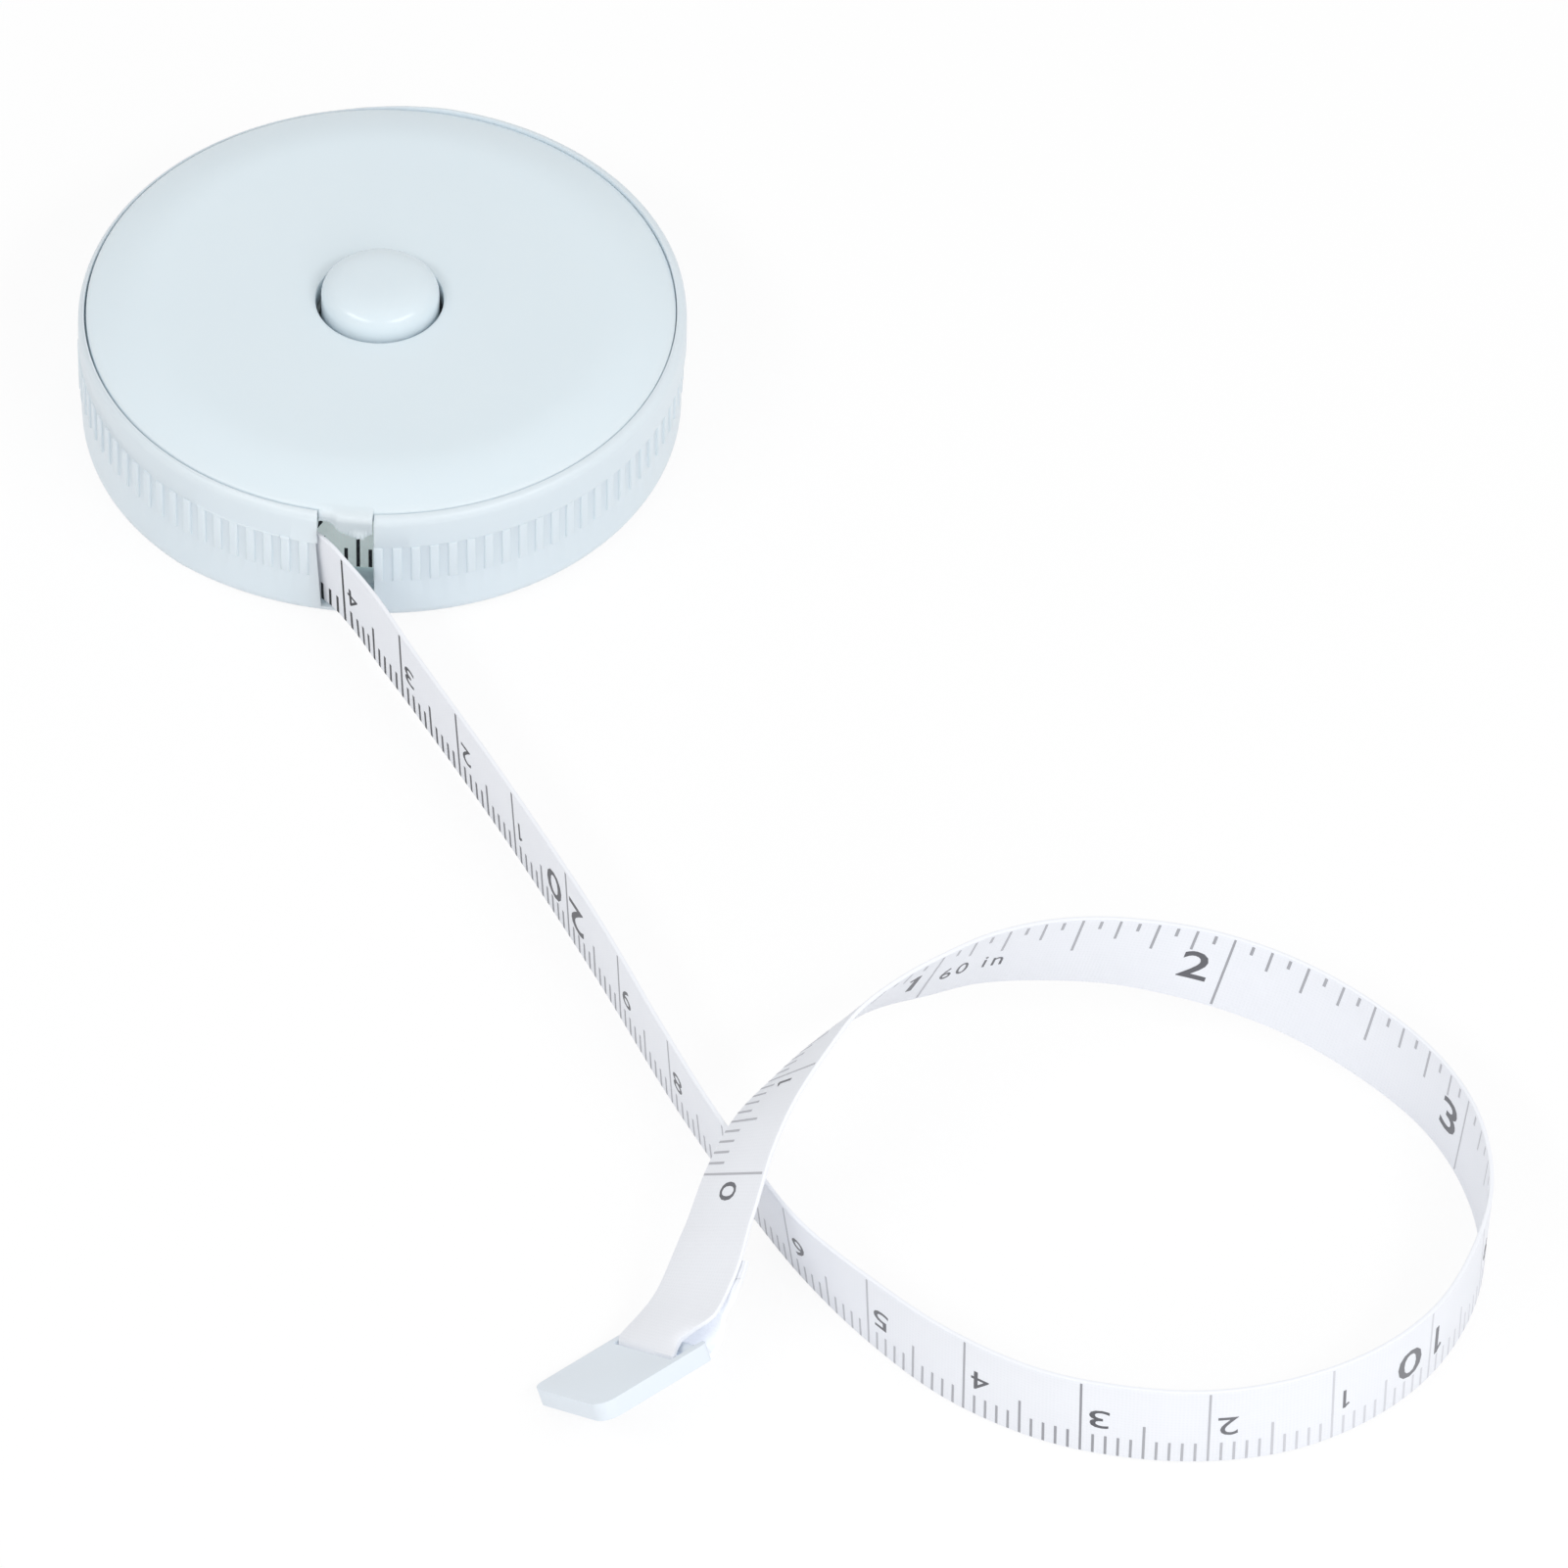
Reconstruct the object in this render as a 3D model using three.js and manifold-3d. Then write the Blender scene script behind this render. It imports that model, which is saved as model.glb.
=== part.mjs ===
// Pocket cloth tape measure, millimetres, +Z up.
// The case stands on its flat underside, whose centre is the origin.
// The tape leaves the case on the -Y side and lies in one loop on the same surface.
import * as THREE from "three";
import { mergeGeometries, mergeVertices } from "three/addons/utils/BufferGeometryUtils.js";
import Module from "manifold-3d";

const wasm = await Module();
wasm.setup();

// Clearances
const running_gap = 0.3;
const cover_edge_gap = 0.2;
const button_gap = 0.39;
const stem_gap = 0.4;
const winding_gap = 0.22;
const weld_depth = 0.4;
const cut_overrun = 2;

// Tape
const tape_width = 7.8;
const tape_thickness = 0.35;
const tail_length = 8;
const tail_spacing = 0.65;
const tail_sideways = 0.35;

// Case: a round cup with a ribbed grip band under a plain bezel
const case_radius = 25.2;
const bezel_proud = 0.1;
const cover_inset = 0.75;
const rib_proud = 0.35;
const rib_count = 102;
const rib_first_angle = -0.926;
const rib_width_share = 0.52;
const rib_bottom = 4.5;
const rib_nose = 0.5;
const bezel_bottom = 8.3;
const bezel_round = 0.9;
const bezel_lip_drop = 0.1;
const foot_round = 1.3;
const floor_thickness = 1.2;
const seat_ledge = 0.65;
const seat_headroom = 0.9;

// Tape slot in the case wall, its left jamb slanted along the tape
const slot_width = 4.7;
const slot_foot_inset = 0.4;
const slot_sill = 1.0;
const jamb_angle = 35;

// Top cover
const cover_rim_thickness = 1.1;
const cover_thickness = 1.2;
const cover_crest_rise = 1.2;
const cover_crest_inset = 5.25;
const cover_dish_depth = 0.4;
const cover_edge_bevel = 0.15;
const collar_wall = 1.1;
const tongue_depth = 1.15;
const tongue_gap = 0.12;

// Button, brake and return spring
const button_radius = 4.95;
const button_rise = 2.0;
const button_shoulder = 0.9;
const button_travel = 1.5;
const button_top_thickness = 1.5;
const sleeve_inner_radius = 3.5;
const flange_margin = 0.3;
const flange_thickness = 0.6;
const stem_radius = 1.2;
const stem_reach = 2.4;
const brake_room = 0.85;
const brake_width = 2.2;
const brake_thickness = 0.4;
const return_spring_radius = 2.2;
const return_spring_wire = 0.45;
const return_spring_turns = 6;

// Reel, the winding on it and the spring that rewinds it
const post_radius = 3.0;
const post_margin = 0.1;
const bore_margin = 0.5;
const drum_wall = 1.2;
const drum_web = 0.8;
const plate_thickness = 0.8;
const roll_room = 3.55;
const winding_depth = 3.45;
const turn_thickness = 0.25;
const turn_pitch = 0.7;
const turn_end_angle = -128.5;
const rewind_spring_thickness = 0.3;
const rewind_spring_turns = 7;

// End piece whose flat bar the tape is looped round
const tab_length = 10.8;
const tab_width = 9.6;
const tab_thickness = 1.5;
const tab_corner = 1.3;
const tab_bevel = 0.25;
const tab_rail = 0.6;
const tab_window_end = 3.3;
const tab_bar_place = 0.75;
const tab_bar_width = 1.4;
const tab_bar_thickness = 0.9;
const tab_heading = -134.3;
const tab_tilt = 30;
const tab_place_x = 35.93;
const tab_place_y = -105.12;
const fold_first_angle = 60;
const fold_room = 0.2;
const fold_rise = 2.0;
const fold_joint = 4.0;

// Facets
const case_facets = rib_count;
const disc_facets = 72;
const small_facets = 36;
const turn_steps = 60;
const coil_steps = 8;
const coil_sides = 5;
const spiral_steps = 24;
const steps_per_span = 2;
const arc_steps = 4;

// Heights worked out from the pieces stacked in the case
const roll_bottom = floor_thickness + running_gap;
const roll_top = roll_bottom + tape_width;
const plate_bottom = roll_top + running_gap;
const plate_top = plate_bottom + plate_thickness;
const seat_height = roll_top + seat_headroom;
const cover_rim_bottom = seat_height + running_gap;
const cover_rim_top = cover_rim_bottom + cover_rim_thickness;
const cover_crest_top = cover_rim_top + cover_crest_rise;
const cover_hole_top = cover_crest_top - cover_dish_depth;
const case_top = cover_rim_top - bezel_lip_drop;
const button_top = cover_hole_top + button_rise;
const brake_top = plate_bottom - running_gap;
const brake_bottom = brake_top - brake_thickness;
const flange_top = brake_bottom - running_gap;
const flange_bottom = flange_top - flange_thickness;
const post_top = flange_bottom - button_travel - post_margin;
const stem_bottom = post_top - stem_reach;
const bore_bottom = stem_bottom - button_travel - bore_margin;
const web_top = roll_bottom + drum_web;

// Radii worked out from the case inwards
const bezel_radius = case_radius + bezel_proud;
const rib_radius = case_radius + rib_proud;
const cover_radius = case_radius - cover_inset;
const cover_crest_radius = cover_radius - cover_crest_inset;
const seat_radius = cover_radius + cover_edge_gap;
const cup_radius = seat_radius - seat_ledge;
const roll_radius = cup_radius - roll_room;
const drum_radius = roll_radius - winding_depth;
const drum_inner_radius = drum_radius - drum_wall;

// Radii worked out from the button outwards
const hole_radius = button_radius + button_gap;
const brake_inner_radius = button_radius + brake_room;
const brake_outer_radius = brake_inner_radius + brake_width;
const flange_radius = brake_outer_radius + flange_margin;

const materials = {
  shell: { color: 0xdce6ec, roughness: 0.32, metalness: 0 },
  cover: { color: 0xdfe9ee, roughness: 0.28, metalness: 0 },
  button: { color: 0xe2ebf0, roughness: 0.28, metalness: 0 },
  tape: { color: 0xecedf6, roughness: 0.75, metalness: 0 },
  tab: { color: 0xe0e8ef, roughness: 0.35, metalness: 0 },
  steel: { color: 0x9aa0a6, roughness: 0.35, metalness: 1 },
  reel: { color: 0xc9d3d6, roughness: 0.55, metalness: 0 },
  brake: { color: 0x55595c, roughness: 0.9, metalness: 0 },
};

// Helpers

function radians(angle) {
  return THREE.MathUtils.degToRad(angle);
}

// One closed body: shared vertices, no empty triangles, faces outward
function closed(geometry) {
  geometry.deleteAttribute("normal");
  geometry.deleteAttribute("uv");
  const merged = mergeVertices(geometry);
  const position = merged.attributes.position;
  const corners = [0, 1, 2].map(() => new THREE.Vector3());
  const faces = [];
  let volume = 0;
  for (let i = 0; i < merged.index.count; i += 3) {
    const face = [0, 1, 2].map((k) => merged.index.getX(i + k));
    if (new Set(face).size < 3) continue;
    face.forEach((vertex, k) => corners[k].fromBufferAttribute(position, vertex));
    volume += corners[0].dot(corners[1].clone().cross(corners[2]));
    faces.push(face);
  }
  if (volume < 0) faces.forEach((face) => face.reverse());
  merged.setIndex(faces.flat());
  return merged;
}

function to_solid(geometry) {
  const merged = closed(geometry);
  const vertProperties = new Float32Array(merged.attributes.position.array);
  const triVerts = new Uint32Array(merged.index.array);
  return new wasm.Manifold(new wasm.Mesh({ numProp: 3, vertProperties, triVerts }));
}

function to_geometry(solid) {
  const mesh = solid.getMesh();
  const geometry = new THREE.BufferGeometry();
  geometry.setAttribute("position", new THREE.BufferAttribute(mesh.vertProperties, 3));
  geometry.setIndex([...mesh.triVerts]);
  return geometry;
}

// Turned piece about +Z from [radius, height] points, its facets starting at an angle from -Y
function turned(profile, facets, first_angle = 0) {
  const points = profile.map(([radius, height]) => new THREE.Vector2(radius, height));
  const geometry = new THREE.LatheGeometry(points, facets, radians(first_angle));
  return closed(geometry.rotateX(radians(90)));
}

// Washer-like ring between two radii and two heights
function ring(inner, outer, bottom, top, facets) {
  const profile = [
    [inner, bottom],
    [outer, bottom],
    [outer, top],
    [inner, top],
    [inner, bottom],
  ];
  return turned(profile, facets);
}

// Quarter circle of [radius, height] points between two angles
function arc(centre_radius, centre_height, size, from, to) {
  const points = [];
  for (let i = 0; i <= arc_steps; i++) {
    const angle = radians(from + ((to - from) * i) / arc_steps);
    points.push([centre_radius + size * Math.cos(angle), centre_height + size * Math.sin(angle)]);
  }
  return points;
}

// Closed solid through rings of points with equal counts
function swept(rings) {
  const count = rings[0].length;
  const positions = rings.flat().flatMap((point) => [point.x, point.y, point.z]);
  const faces = [];
  for (let i = 0; i + 1 < rings.length; i++) {
    for (let j = 0; j < count; j++) {
      const here = i * count + j;
      const beside = i * count + ((j + 1) % count);
      faces.push(here, beside, here + count);
      faces.push(beside, beside + count, here + count);
    }
  }
  const last = (rings.length - 1) * count;
  for (let j = 1; j + 1 < count; j++) {
    faces.push(0, j + 1, j);
    faces.push(last, last + j, last + j + 1);
  }
  const geometry = new THREE.BufferGeometry();
  geometry.setAttribute("position", new THREE.Float32BufferAttribute(positions, 3));
  geometry.setIndex(faces);
  return closed(geometry);
}

// Four corners of a flat strip's section
function strip_section(point, across, through, width, thickness) {
  const corners = [[-1, -1], [1, -1], [1, 1], [-1, 1]];
  return corners.map(([side, face]) =>
    point
      .clone()
      .addScaledVector(across, (side * width) / 2)
      .addScaledVector(through, (face * thickness) / 2)
  );
}

// Strip standing on edge along a spiral about the axis
function spiral_strip(from_radius, to_radius, from_angle, turns, steps, bottom, top, thickness) {
  const rings = [];
  const up = new THREE.Vector3(0, 0, 1);
  for (let i = 0; i <= steps * turns; i++) {
    const share = i / (steps * turns);
    const angle = radians(from_angle + 360 * turns * share);
    const outward = new THREE.Vector3(Math.cos(angle), Math.sin(angle), 0);
    const radius = from_radius + (to_radius - from_radius) * share;
    const point = outward.clone().multiplyScalar(radius);
    point.z = (bottom + top) / 2;
    rings.push(strip_section(point, up, outward, top - bottom, thickness));
  }
  return swept(rings);
}

// Case

function wall_profile() {
  const foot = arc(case_radius - foot_round, foot_round, foot_round, -90, 0);
  const lip = arc(bezel_radius - bezel_round, case_top - bezel_round, bezel_round, 0, 75);
  return [
    [0, 0],
    ...foot,
    [case_radius, bezel_bottom],
    [bezel_radius, bezel_bottom + (bezel_radius - case_radius) / 2],
    ...lip,
    [seat_radius, case_top - bezel_lip_drop],
    [seat_radius, seat_height],
    [cup_radius, seat_height],
    [cup_radius, floor_thickness],
    [0, floor_thickness],
  ];
}

// Ribs all round but for the ones that would stand in the slot
function grip_ribs() {
  const root = case_radius - weld_depth;
  const outline = new THREE.Shape([
    new THREE.Vector2(root, rib_bottom),
    new THREE.Vector2((case_radius + rib_radius) / 2, rib_bottom + rib_nose / 4),
    new THREE.Vector2(rib_radius, rib_bottom + rib_nose),
    new THREE.Vector2(rib_radius, bezel_bottom - (rib_radius - case_radius) / 2),
    new THREE.Vector2(root, bezel_bottom),
  ]);
  const width = ((2 * Math.PI * case_radius) / rib_count) * rib_width_share;
  const ribs = [];
  for (let i = 0; i < rib_count; i++) {
    const angle = radians(rib_first_angle + (360 * i) / rib_count);
    const sideways = Math.abs(Math.sin(angle)) * case_radius;
    if (Math.cos(angle) > 0 && sideways < slot_width / 2) continue;
    const rib = new THREE.ExtrudeGeometry(outline, { depth: width, bevelEnabled: false });
    rib.translate(0, 0, -width / 2).rotateX(radians(90));
    ribs.push(rib.rotateZ(angle - radians(90)));
  }
  return mergeGeometries(ribs);
}

// Block over the slot from one height to another, with a slanted left side
function slot_block(bottom, foot_inset, top, slant) {
  const outside = -bezel_radius - cut_overrun;
  const inside = -cup_radius + cut_overrun;
  const right = slot_width / 2;
  const levels = [
    [bottom, foot_inset - slot_width / 2],
    [top, -slot_width / 2],
  ];
  const rings = levels.map(([height, left]) => [
    new THREE.Vector3(left - (outside + case_radius) * slant, outside, height),
    new THREE.Vector3(right, outside, height),
    new THREE.Vector3(right, inside, height),
    new THREE.Vector3(left - (inside + case_radius) * slant, inside, height),
  ]);
  return to_solid(swept(rings));
}

// The left jamb is slanted as high as the tape stands, and square to the slot above it
function slot_cutter() {
  const tape_head = roll_top + running_gap;
  const slant = 1 / Math.tan(radians(jamb_angle));
  const low = slot_block(slot_sill, slot_foot_inset, tape_head, slant);
  return low.add(slot_block(tape_head, 0, case_top + cut_overrun, 0));
}

function centre_post() {
  const bore_radius = stem_radius + stem_gap;
  const profile = [
    [0, floor_thickness - weld_depth],
    [post_radius, floor_thickness - weld_depth],
    [post_radius, post_top],
    [bore_radius, post_top],
    [bore_radius, bore_bottom],
    [0, bore_bottom],
  ];
  return turned(profile, small_facets);
}

function housing() {
  const facet_angle = 360 / case_facets;
  const cup = to_solid(turned(wall_profile(), case_facets, rib_first_angle + facet_angle / 2));
  const ribbed = cup.add(to_solid(grip_ribs())).add(to_solid(centre_post()));
  return to_geometry(ribbed.subtract(slot_cutter()));
}

// Top cover

// Height of the cover's upper face: a soft rise to the crest, then a shallow dish
function cover_height(radius) {
  if (radius > cover_crest_radius) {
    const share = (cover_radius - radius) / (cover_radius - cover_crest_radius);
    return cover_rim_top + cover_crest_rise * Math.sin((Math.PI / 2) * share);
  }
  const share = (cover_crest_radius - radius) / (cover_crest_radius - hole_radius);
  return cover_crest_top - cover_dish_depth * (1 - (1 - share) ** 2);
}

function cover_disc() {
  const outer_shares = [0.2, 0.45, 0.75, 1];
  const inner_shares = [0.12, 0.35, 0.65];
  const slope = outer_shares.map(
    (share) => cover_radius - (cover_radius - cover_crest_radius) * share
  );
  const dish = inner_shares.map(
    (share) => cover_crest_radius - (cover_crest_radius - hole_radius) * share
  );
  const upper = [...slope, ...dish].map((radius) => [radius, cover_height(radius)]);
  const collar_radius = hole_radius + collar_wall;
  const collar_bottom = plate_top + running_gap;
  const profile = [
    [hole_radius, collar_bottom],
    [collar_radius, collar_bottom],
    [collar_radius, cover_hole_top - cover_thickness],
    [cover_crest_radius, cover_crest_top - cover_thickness],
    [cup_radius - seat_ledge, cover_rim_bottom],
    [cover_radius, cover_rim_bottom],
    [cover_radius, cover_rim_top - cover_edge_bevel],
    [cover_radius - cover_edge_bevel, cover_rim_top],
    ...upper,
    [hole_radius, cover_hole_top],
    [hole_radius, collar_bottom],
  ];
  return turned(profile, disc_facets);
}

// Tongue that closes the slot's top, with the ragged lower lip left by moulding
function cover_tongue() {
  const half = slot_width / 2 - tongue_gap;
  const lip_shares = [
    [-0.94, 0.42],
    [-0.66, 0.45],
    [-0.08, 0.79],
    [0.42, 0.93],
    [0.66, 1],
    [0.74, 0.86],
    [1, 0.64],
  ];
  const drop = cover_rim_top - roll_top - tongue_gap;
  const lip = lip_shares.map(
    ([side, depth]) => new THREE.Vector2(side * half, cover_rim_top - depth * drop)
  );
  const top = cover_rim_top - cover_edge_bevel;
  const outline = new THREE.Shape([
    new THREE.Vector2(half, top),
    new THREE.Vector2(-half, top),
    ...lip,
  ]);
  const tongue = new THREE.ExtrudeGeometry(outline, { depth: tongue_depth, bevelEnabled: false });
  return tongue.rotateX(radians(90)).translate(0, -case_radius + tongue_depth, 0);
}

function top_cover() {
  return to_geometry(to_solid(cover_disc()).add(to_solid(cover_tongue())));
}

// Button group

function button() {
  const shoulder = arc(
    button_radius - button_shoulder,
    button_top - button_shoulder,
    button_shoulder,
    90,
    0
  );
  const inside_top = button_top - button_top_thickness;
  const profile = [
    [0, button_top],
    ...shoulder,
    [button_radius, flange_top],
    [flange_radius, flange_top],
    [flange_radius, flange_bottom],
    [sleeve_inner_radius, flange_bottom],
    [sleeve_inner_radius, inside_top],
    [stem_radius, inside_top],
    [stem_radius, stem_bottom],
    [0, stem_bottom],
  ];
  return turned(profile, small_facets);
}

// Compression spring between the post and the inside of the button
function button_spring() {
  const seat_gap = running_gap / 2;
  const bottom = post_top + return_spring_wire / 2 + seat_gap;
  const top = button_top - button_top_thickness - return_spring_wire / 2 - seat_gap;
  const steps = return_spring_turns * coil_steps;
  const rings = [];
  for (let i = 0; i <= steps; i++) {
    const share = i / steps;
    const angle = 2 * Math.PI * return_spring_turns * share;
    const outward = new THREE.Vector3(Math.cos(angle), Math.sin(angle), 0);
    const centre = outward.clone().multiplyScalar(return_spring_radius);
    centre.z = bottom + (top - bottom) * share;
    const section = [];
    for (let j = 0; j < coil_sides; j++) {
      const around = (2 * Math.PI * j) / coil_sides;
      const point = centre.clone();
      point.addScaledVector(outward, (return_spring_wire / 2) * Math.cos(around));
      point.z += (return_spring_wire / 2) * Math.sin(around);
      section.push(point);
    }
    rings.push(section);
  }
  return swept(rings);
}

// Reel

function drum() {
  const hub_hole = post_radius + running_gap;
  const profile = [
    [hub_hole, roll_bottom],
    [drum_radius, roll_bottom],
    [drum_radius, roll_top],
    [drum_inner_radius, roll_top],
    [drum_inner_radius, web_top],
    [hub_hole, web_top],
    [hub_hole, roll_bottom],
  ];
  return turned(profile, disc_facets);
}

// Flat spiral spring from the post out to the drum's wall
function rewind_spring() {
  const from = post_radius + running_gap + rewind_spring_thickness / 2;
  const to = drum_inner_radius - running_gap - rewind_spring_thickness / 2;
  const bottom = web_top + running_gap;
  const top = flange_bottom - button_travel - running_gap;
  const turns = rewind_spring_turns;
  return spiral_strip(from, to, 0, turns, spiral_steps, bottom, top, rewind_spring_thickness);
}

function outer_turn() {
  const end = roll_radius + turn_pitch;
  const from_angle = turn_end_angle - 360;
  const steps = turn_steps;
  return spiral_strip(
    roll_radius, end, from_angle, 1, steps, roll_bottom, roll_top, turn_thickness
  );
}

function roll_core() {
  const outer = roll_radius - turn_thickness / 2 - winding_gap;
  return ring(drum_radius + running_gap, outer, roll_bottom, roll_top, disc_facets);
}

// Free tape

// Centreline from the winding to the end piece, with the strip's lean from upright in degrees
const tape_route = [
  [-12.8, -17.6, 5.4, 0],
  [-9.2, -19.9, 5.4, -1],
  [-5.4, -22.4, 5.4, -3],
  [-1.8, -24.7, 5.3, -4],
  [0.7, -27.4, 5.1, -4],
  [3.6, -31.5, 4.9, -2],
  [7.5, -37.2, 4.7, -4],
  [16.1, -49.9, 4.4, -4],
  [24.9, -64.0, 4.3, -3],
  [31.5, -75.4, 4.1, -4],
  [35.9, -82.6, 4.0, -6],
  [40.2, -89.0, 3.9, -7],
  [44.9, -95.3, 3.9, -8],
  [50.7, -101.0, 4.0, -3],
  [57.1, -105.9, 4.0, 0],
  [64.2, -109.3, 4.1, 0],
  [71.1, -110.6, 4.2, 1],
  [78.1, -110.3, 4.2, 1],
  [84.7, -108.2, 4.2, 2],
  [90.5, -104.3, 4.2, 0],
  [94.8, -99.0, 4.2, -1],
  [97.3, -92.2, 4.1, 0],
  [97.9, -85.4, 4.0, -3],
  [96.2, -78.6, 4.1, -7],
  [92.7, -72.6, 4.0, -8],
  [87.5, -68.1, 4.5, -8],
  [81.2, -65.2, 5.8, -6],
  [74.5, -64.1, 7.3, -3],
  [67.9, -64.7, 9.0, 3],
  [62.1, -66.4, 10.4, 8],
  [57.0, -68.9, 11.5, 16],
  [52.9, -71.9, 12.1, 22],
  [49.1, -75.0, 12.5, 30],
  [45.9, -78.9, 12.6, 33],
  [43.4, -83.1, 12.2, 39],
  [41.0, -87.6, 11.4, 46],
  [39.5, -91.7, 9.9, 48],
  [38.3, -96.5, 7.5, 51],
  [36.8, -101.8, 5.2, 58],
  [34.1, -106.3, 3.9, 60],
];
const route_points = tape_route.map(([x, y, z]) => new THREE.Vector3(x, y, z));
const lean_points = tape_route.map((row) => new THREE.Vector3(row[3], 0, 0));
const route_curve = new THREE.CatmullRomCurve3(route_points, false, "catmullrom", 0.5);
const lean_curve = new THREE.CatmullRomCurve3(lean_points, false, "catmullrom", 0.5);

// Place on the tape at a share of the route: the point, the way across and the way through
function tape_place(share) {
  const point = route_curve.getPoint(share);
  const along = route_curve.getTangent(share);
  const lean = radians(lean_curve.getPoint(share).x);
  const sideways = new THREE.Vector3(-along.y, along.x, 0).normalize();
  const upward = along.clone().cross(sideways);
  const across = upward.multiplyScalar(Math.cos(lean)).addScaledVector(sideways, Math.sin(lean));
  return { point, across, through: along.clone().cross(across) };
}

function tape_free() {
  const steps = (tape_route.length - 1) * steps_per_span;
  const rings = [];
  for (let i = 0; i <= steps; i++) {
    const { point, across, through } = tape_place(i / steps);
    rings.push(strip_section(point, across, through, tape_width, tape_thickness));
  }
  return swept(rings);
}

// End piece

const tab_frame = new THREE.Group();
tab_frame.rotation.order = "ZXY";
tab_frame.rotation.set(radians(tab_tilt), 0, radians(tab_heading));
const tab_lift =
  (tab_width / 2) * Math.sin(radians(tab_tilt)) +
  (tab_thickness / 2) * Math.cos(radians(tab_tilt));
tab_frame.position.set(tab_place_x, tab_place_y, tab_lift);
tab_frame.updateMatrix();

function end_tab() {
  const half = tab_width / 2;
  const inside = half - tab_rail;
  const outline = new THREE.Shape();
  outline.moveTo(0, -half);
  outline.lineTo(tab_length - tab_corner, -half);
  outline.absarc(tab_length - tab_corner, tab_corner - half, tab_corner, radians(-90), 0);
  outline.lineTo(tab_length, half - tab_corner);
  outline.absarc(tab_length - tab_corner, half - tab_corner, tab_corner, 0, radians(90));
  outline.lineTo(0, half);
  outline.lineTo(0, inside);
  outline.lineTo(tab_window_end, inside);
  outline.lineTo(tab_window_end, -inside);
  outline.lineTo(0, -inside);
  const options = {
    depth: tab_thickness - 2 * tab_bevel,
    bevelThickness: tab_bevel,
    bevelSize: tab_bevel,
    bevelOffset: -tab_bevel,
    bevelSegments: 1,
    curveSegments: arc_steps,
  };
  const plate = new THREE.ExtrudeGeometry(outline, options);
  plate.translate(0, 0, tab_bevel - tab_thickness / 2);
  const bar_length = tab_width - tab_rail;
  const bar_half = tab_bar_thickness / 2;
  const bar = new THREE.CylinderGeometry(bar_half, bar_half, bar_length, coil_steps);
  bar.scale(tab_bar_width / tab_bar_thickness, 1, 1).translate(tab_bar_place, 0, 0);
  return to_geometry(to_solid(plate).add(to_solid(bar)));
}

// Folded end of the tape: down through the window, under the bar, then up behind the tape
function tape_tail() {
  const bend = tab_bar_thickness / 2 + running_gap + tape_thickness / 2;
  const turn_place = tab_window_end - fold_room - tape_thickness / 2 - bend;
  const down = arc(turn_place, 0, bend, fold_first_angle, -90);
  const up = arc(fold_room, fold_rise - bend, fold_rise, 270, 180);
  const across = new THREE.Vector3(0, 1, 0).transformDirection(tab_frame.matrix);
  const places = [...down, ...up].map(([x, z]) => {
    return { point: new THREE.Vector3(x, 0, z).applyMatrix4(tab_frame.matrix), across };
  });
  const route_length = route_curve.getLength();
  for (let i = 0; i <= 2 * arc_steps; i++) {
    const share = i / (2 * arc_steps);
    const back = fold_joint + (tail_length - fold_joint) * share;
    const place = tape_place(route_curve.getUtoTmapping(0, route_length - back));
    const point = place.point.addScaledVector(place.through, -tail_spacing);
    point.addScaledVector(place.across, tail_sideways * share);
    places.push({ point, across: place.across });
  }
  const rings = places.map((place, i) => {
    const before = places[Math.max(i - 1, 0)].point;
    const after = places[Math.min(i + 1, places.length - 1)].point;
    const along = after.clone().sub(before);
    const through = along.cross(place.across).normalize();
    return strip_section(place.point, place.across, through, tape_width, tape_thickness);
  });
  return swept(rings);
}

// Assembly

const group = new THREE.Group();

function piece(name, geometry, look, parent = group) {
  const mesh = new THREE.Mesh(geometry, new THREE.MeshStandardMaterial(look));
  mesh.name = name;
  parent.add(mesh);
  return mesh;
}

piece("housing", housing(), materials.shell);
piece("top_cover", top_cover(), materials.cover);
piece("button", button(), materials.button);
piece("button_spring", button_spring(), materials.steel);
piece(
  "brake_ring",
  ring(brake_inner_radius, brake_outer_radius, brake_bottom, brake_top, small_facets),
  materials.brake
);
piece("drum", drum(), materials.reel);
piece(
  "drum_plate",
  ring(hole_radius, drum_radius, plate_bottom, plate_top, disc_facets),
  materials.reel
);
piece("main_spring", rewind_spring(), materials.steel);
piece("tape_roll", roll_core(), materials.tape);
piece("tape_outer_turn", outer_turn(), materials.tape);
piece("tape_free", tape_free(), materials.tape);
piece("tape_tail", tape_tail(), materials.tape);
group.add(tab_frame);
piece("end_tab", end_tab(), materials.tab, tab_frame);

// Least gap between neighbouring turns of each winding and of the coil spring
function spiral_gap(from, to, turns, thickness) {
  return (to - from) / turns - thickness;
}
const rewind_reach =
  drum_inner_radius - post_radius - 2 * running_gap - rewind_spring_thickness;
const coil_height =
  button_top - button_top_thickness - post_top - running_gap - return_spring_wire;
const gaps = {
  tape_outer_turn: spiral_gap(0, turn_pitch, 1, turn_thickness),
  main_spring: spiral_gap(0, rewind_reach, rewind_spring_turns, rewind_spring_thickness),
  button_spring: spiral_gap(0, coil_height, return_spring_turns, return_spring_wire),
};
console.log("least gap between turns", gaps);

export default group;
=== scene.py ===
# %% [markdown]
# # A round pocket tape measure with its cloth tape pulled out
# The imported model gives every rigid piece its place. This lesson dresses it: it
# bends a flat printed tape along its route, turns the round case on a lathe, and
# gives each surface the finish of moulded plastic, coated cloth, ink or steel.
# All lengths below are written in millimetres and multiplied by MM, because
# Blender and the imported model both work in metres.

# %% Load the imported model
import math

import bmesh
import bpy
import numpy as np
from mathutils import Matrix, Vector


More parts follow.
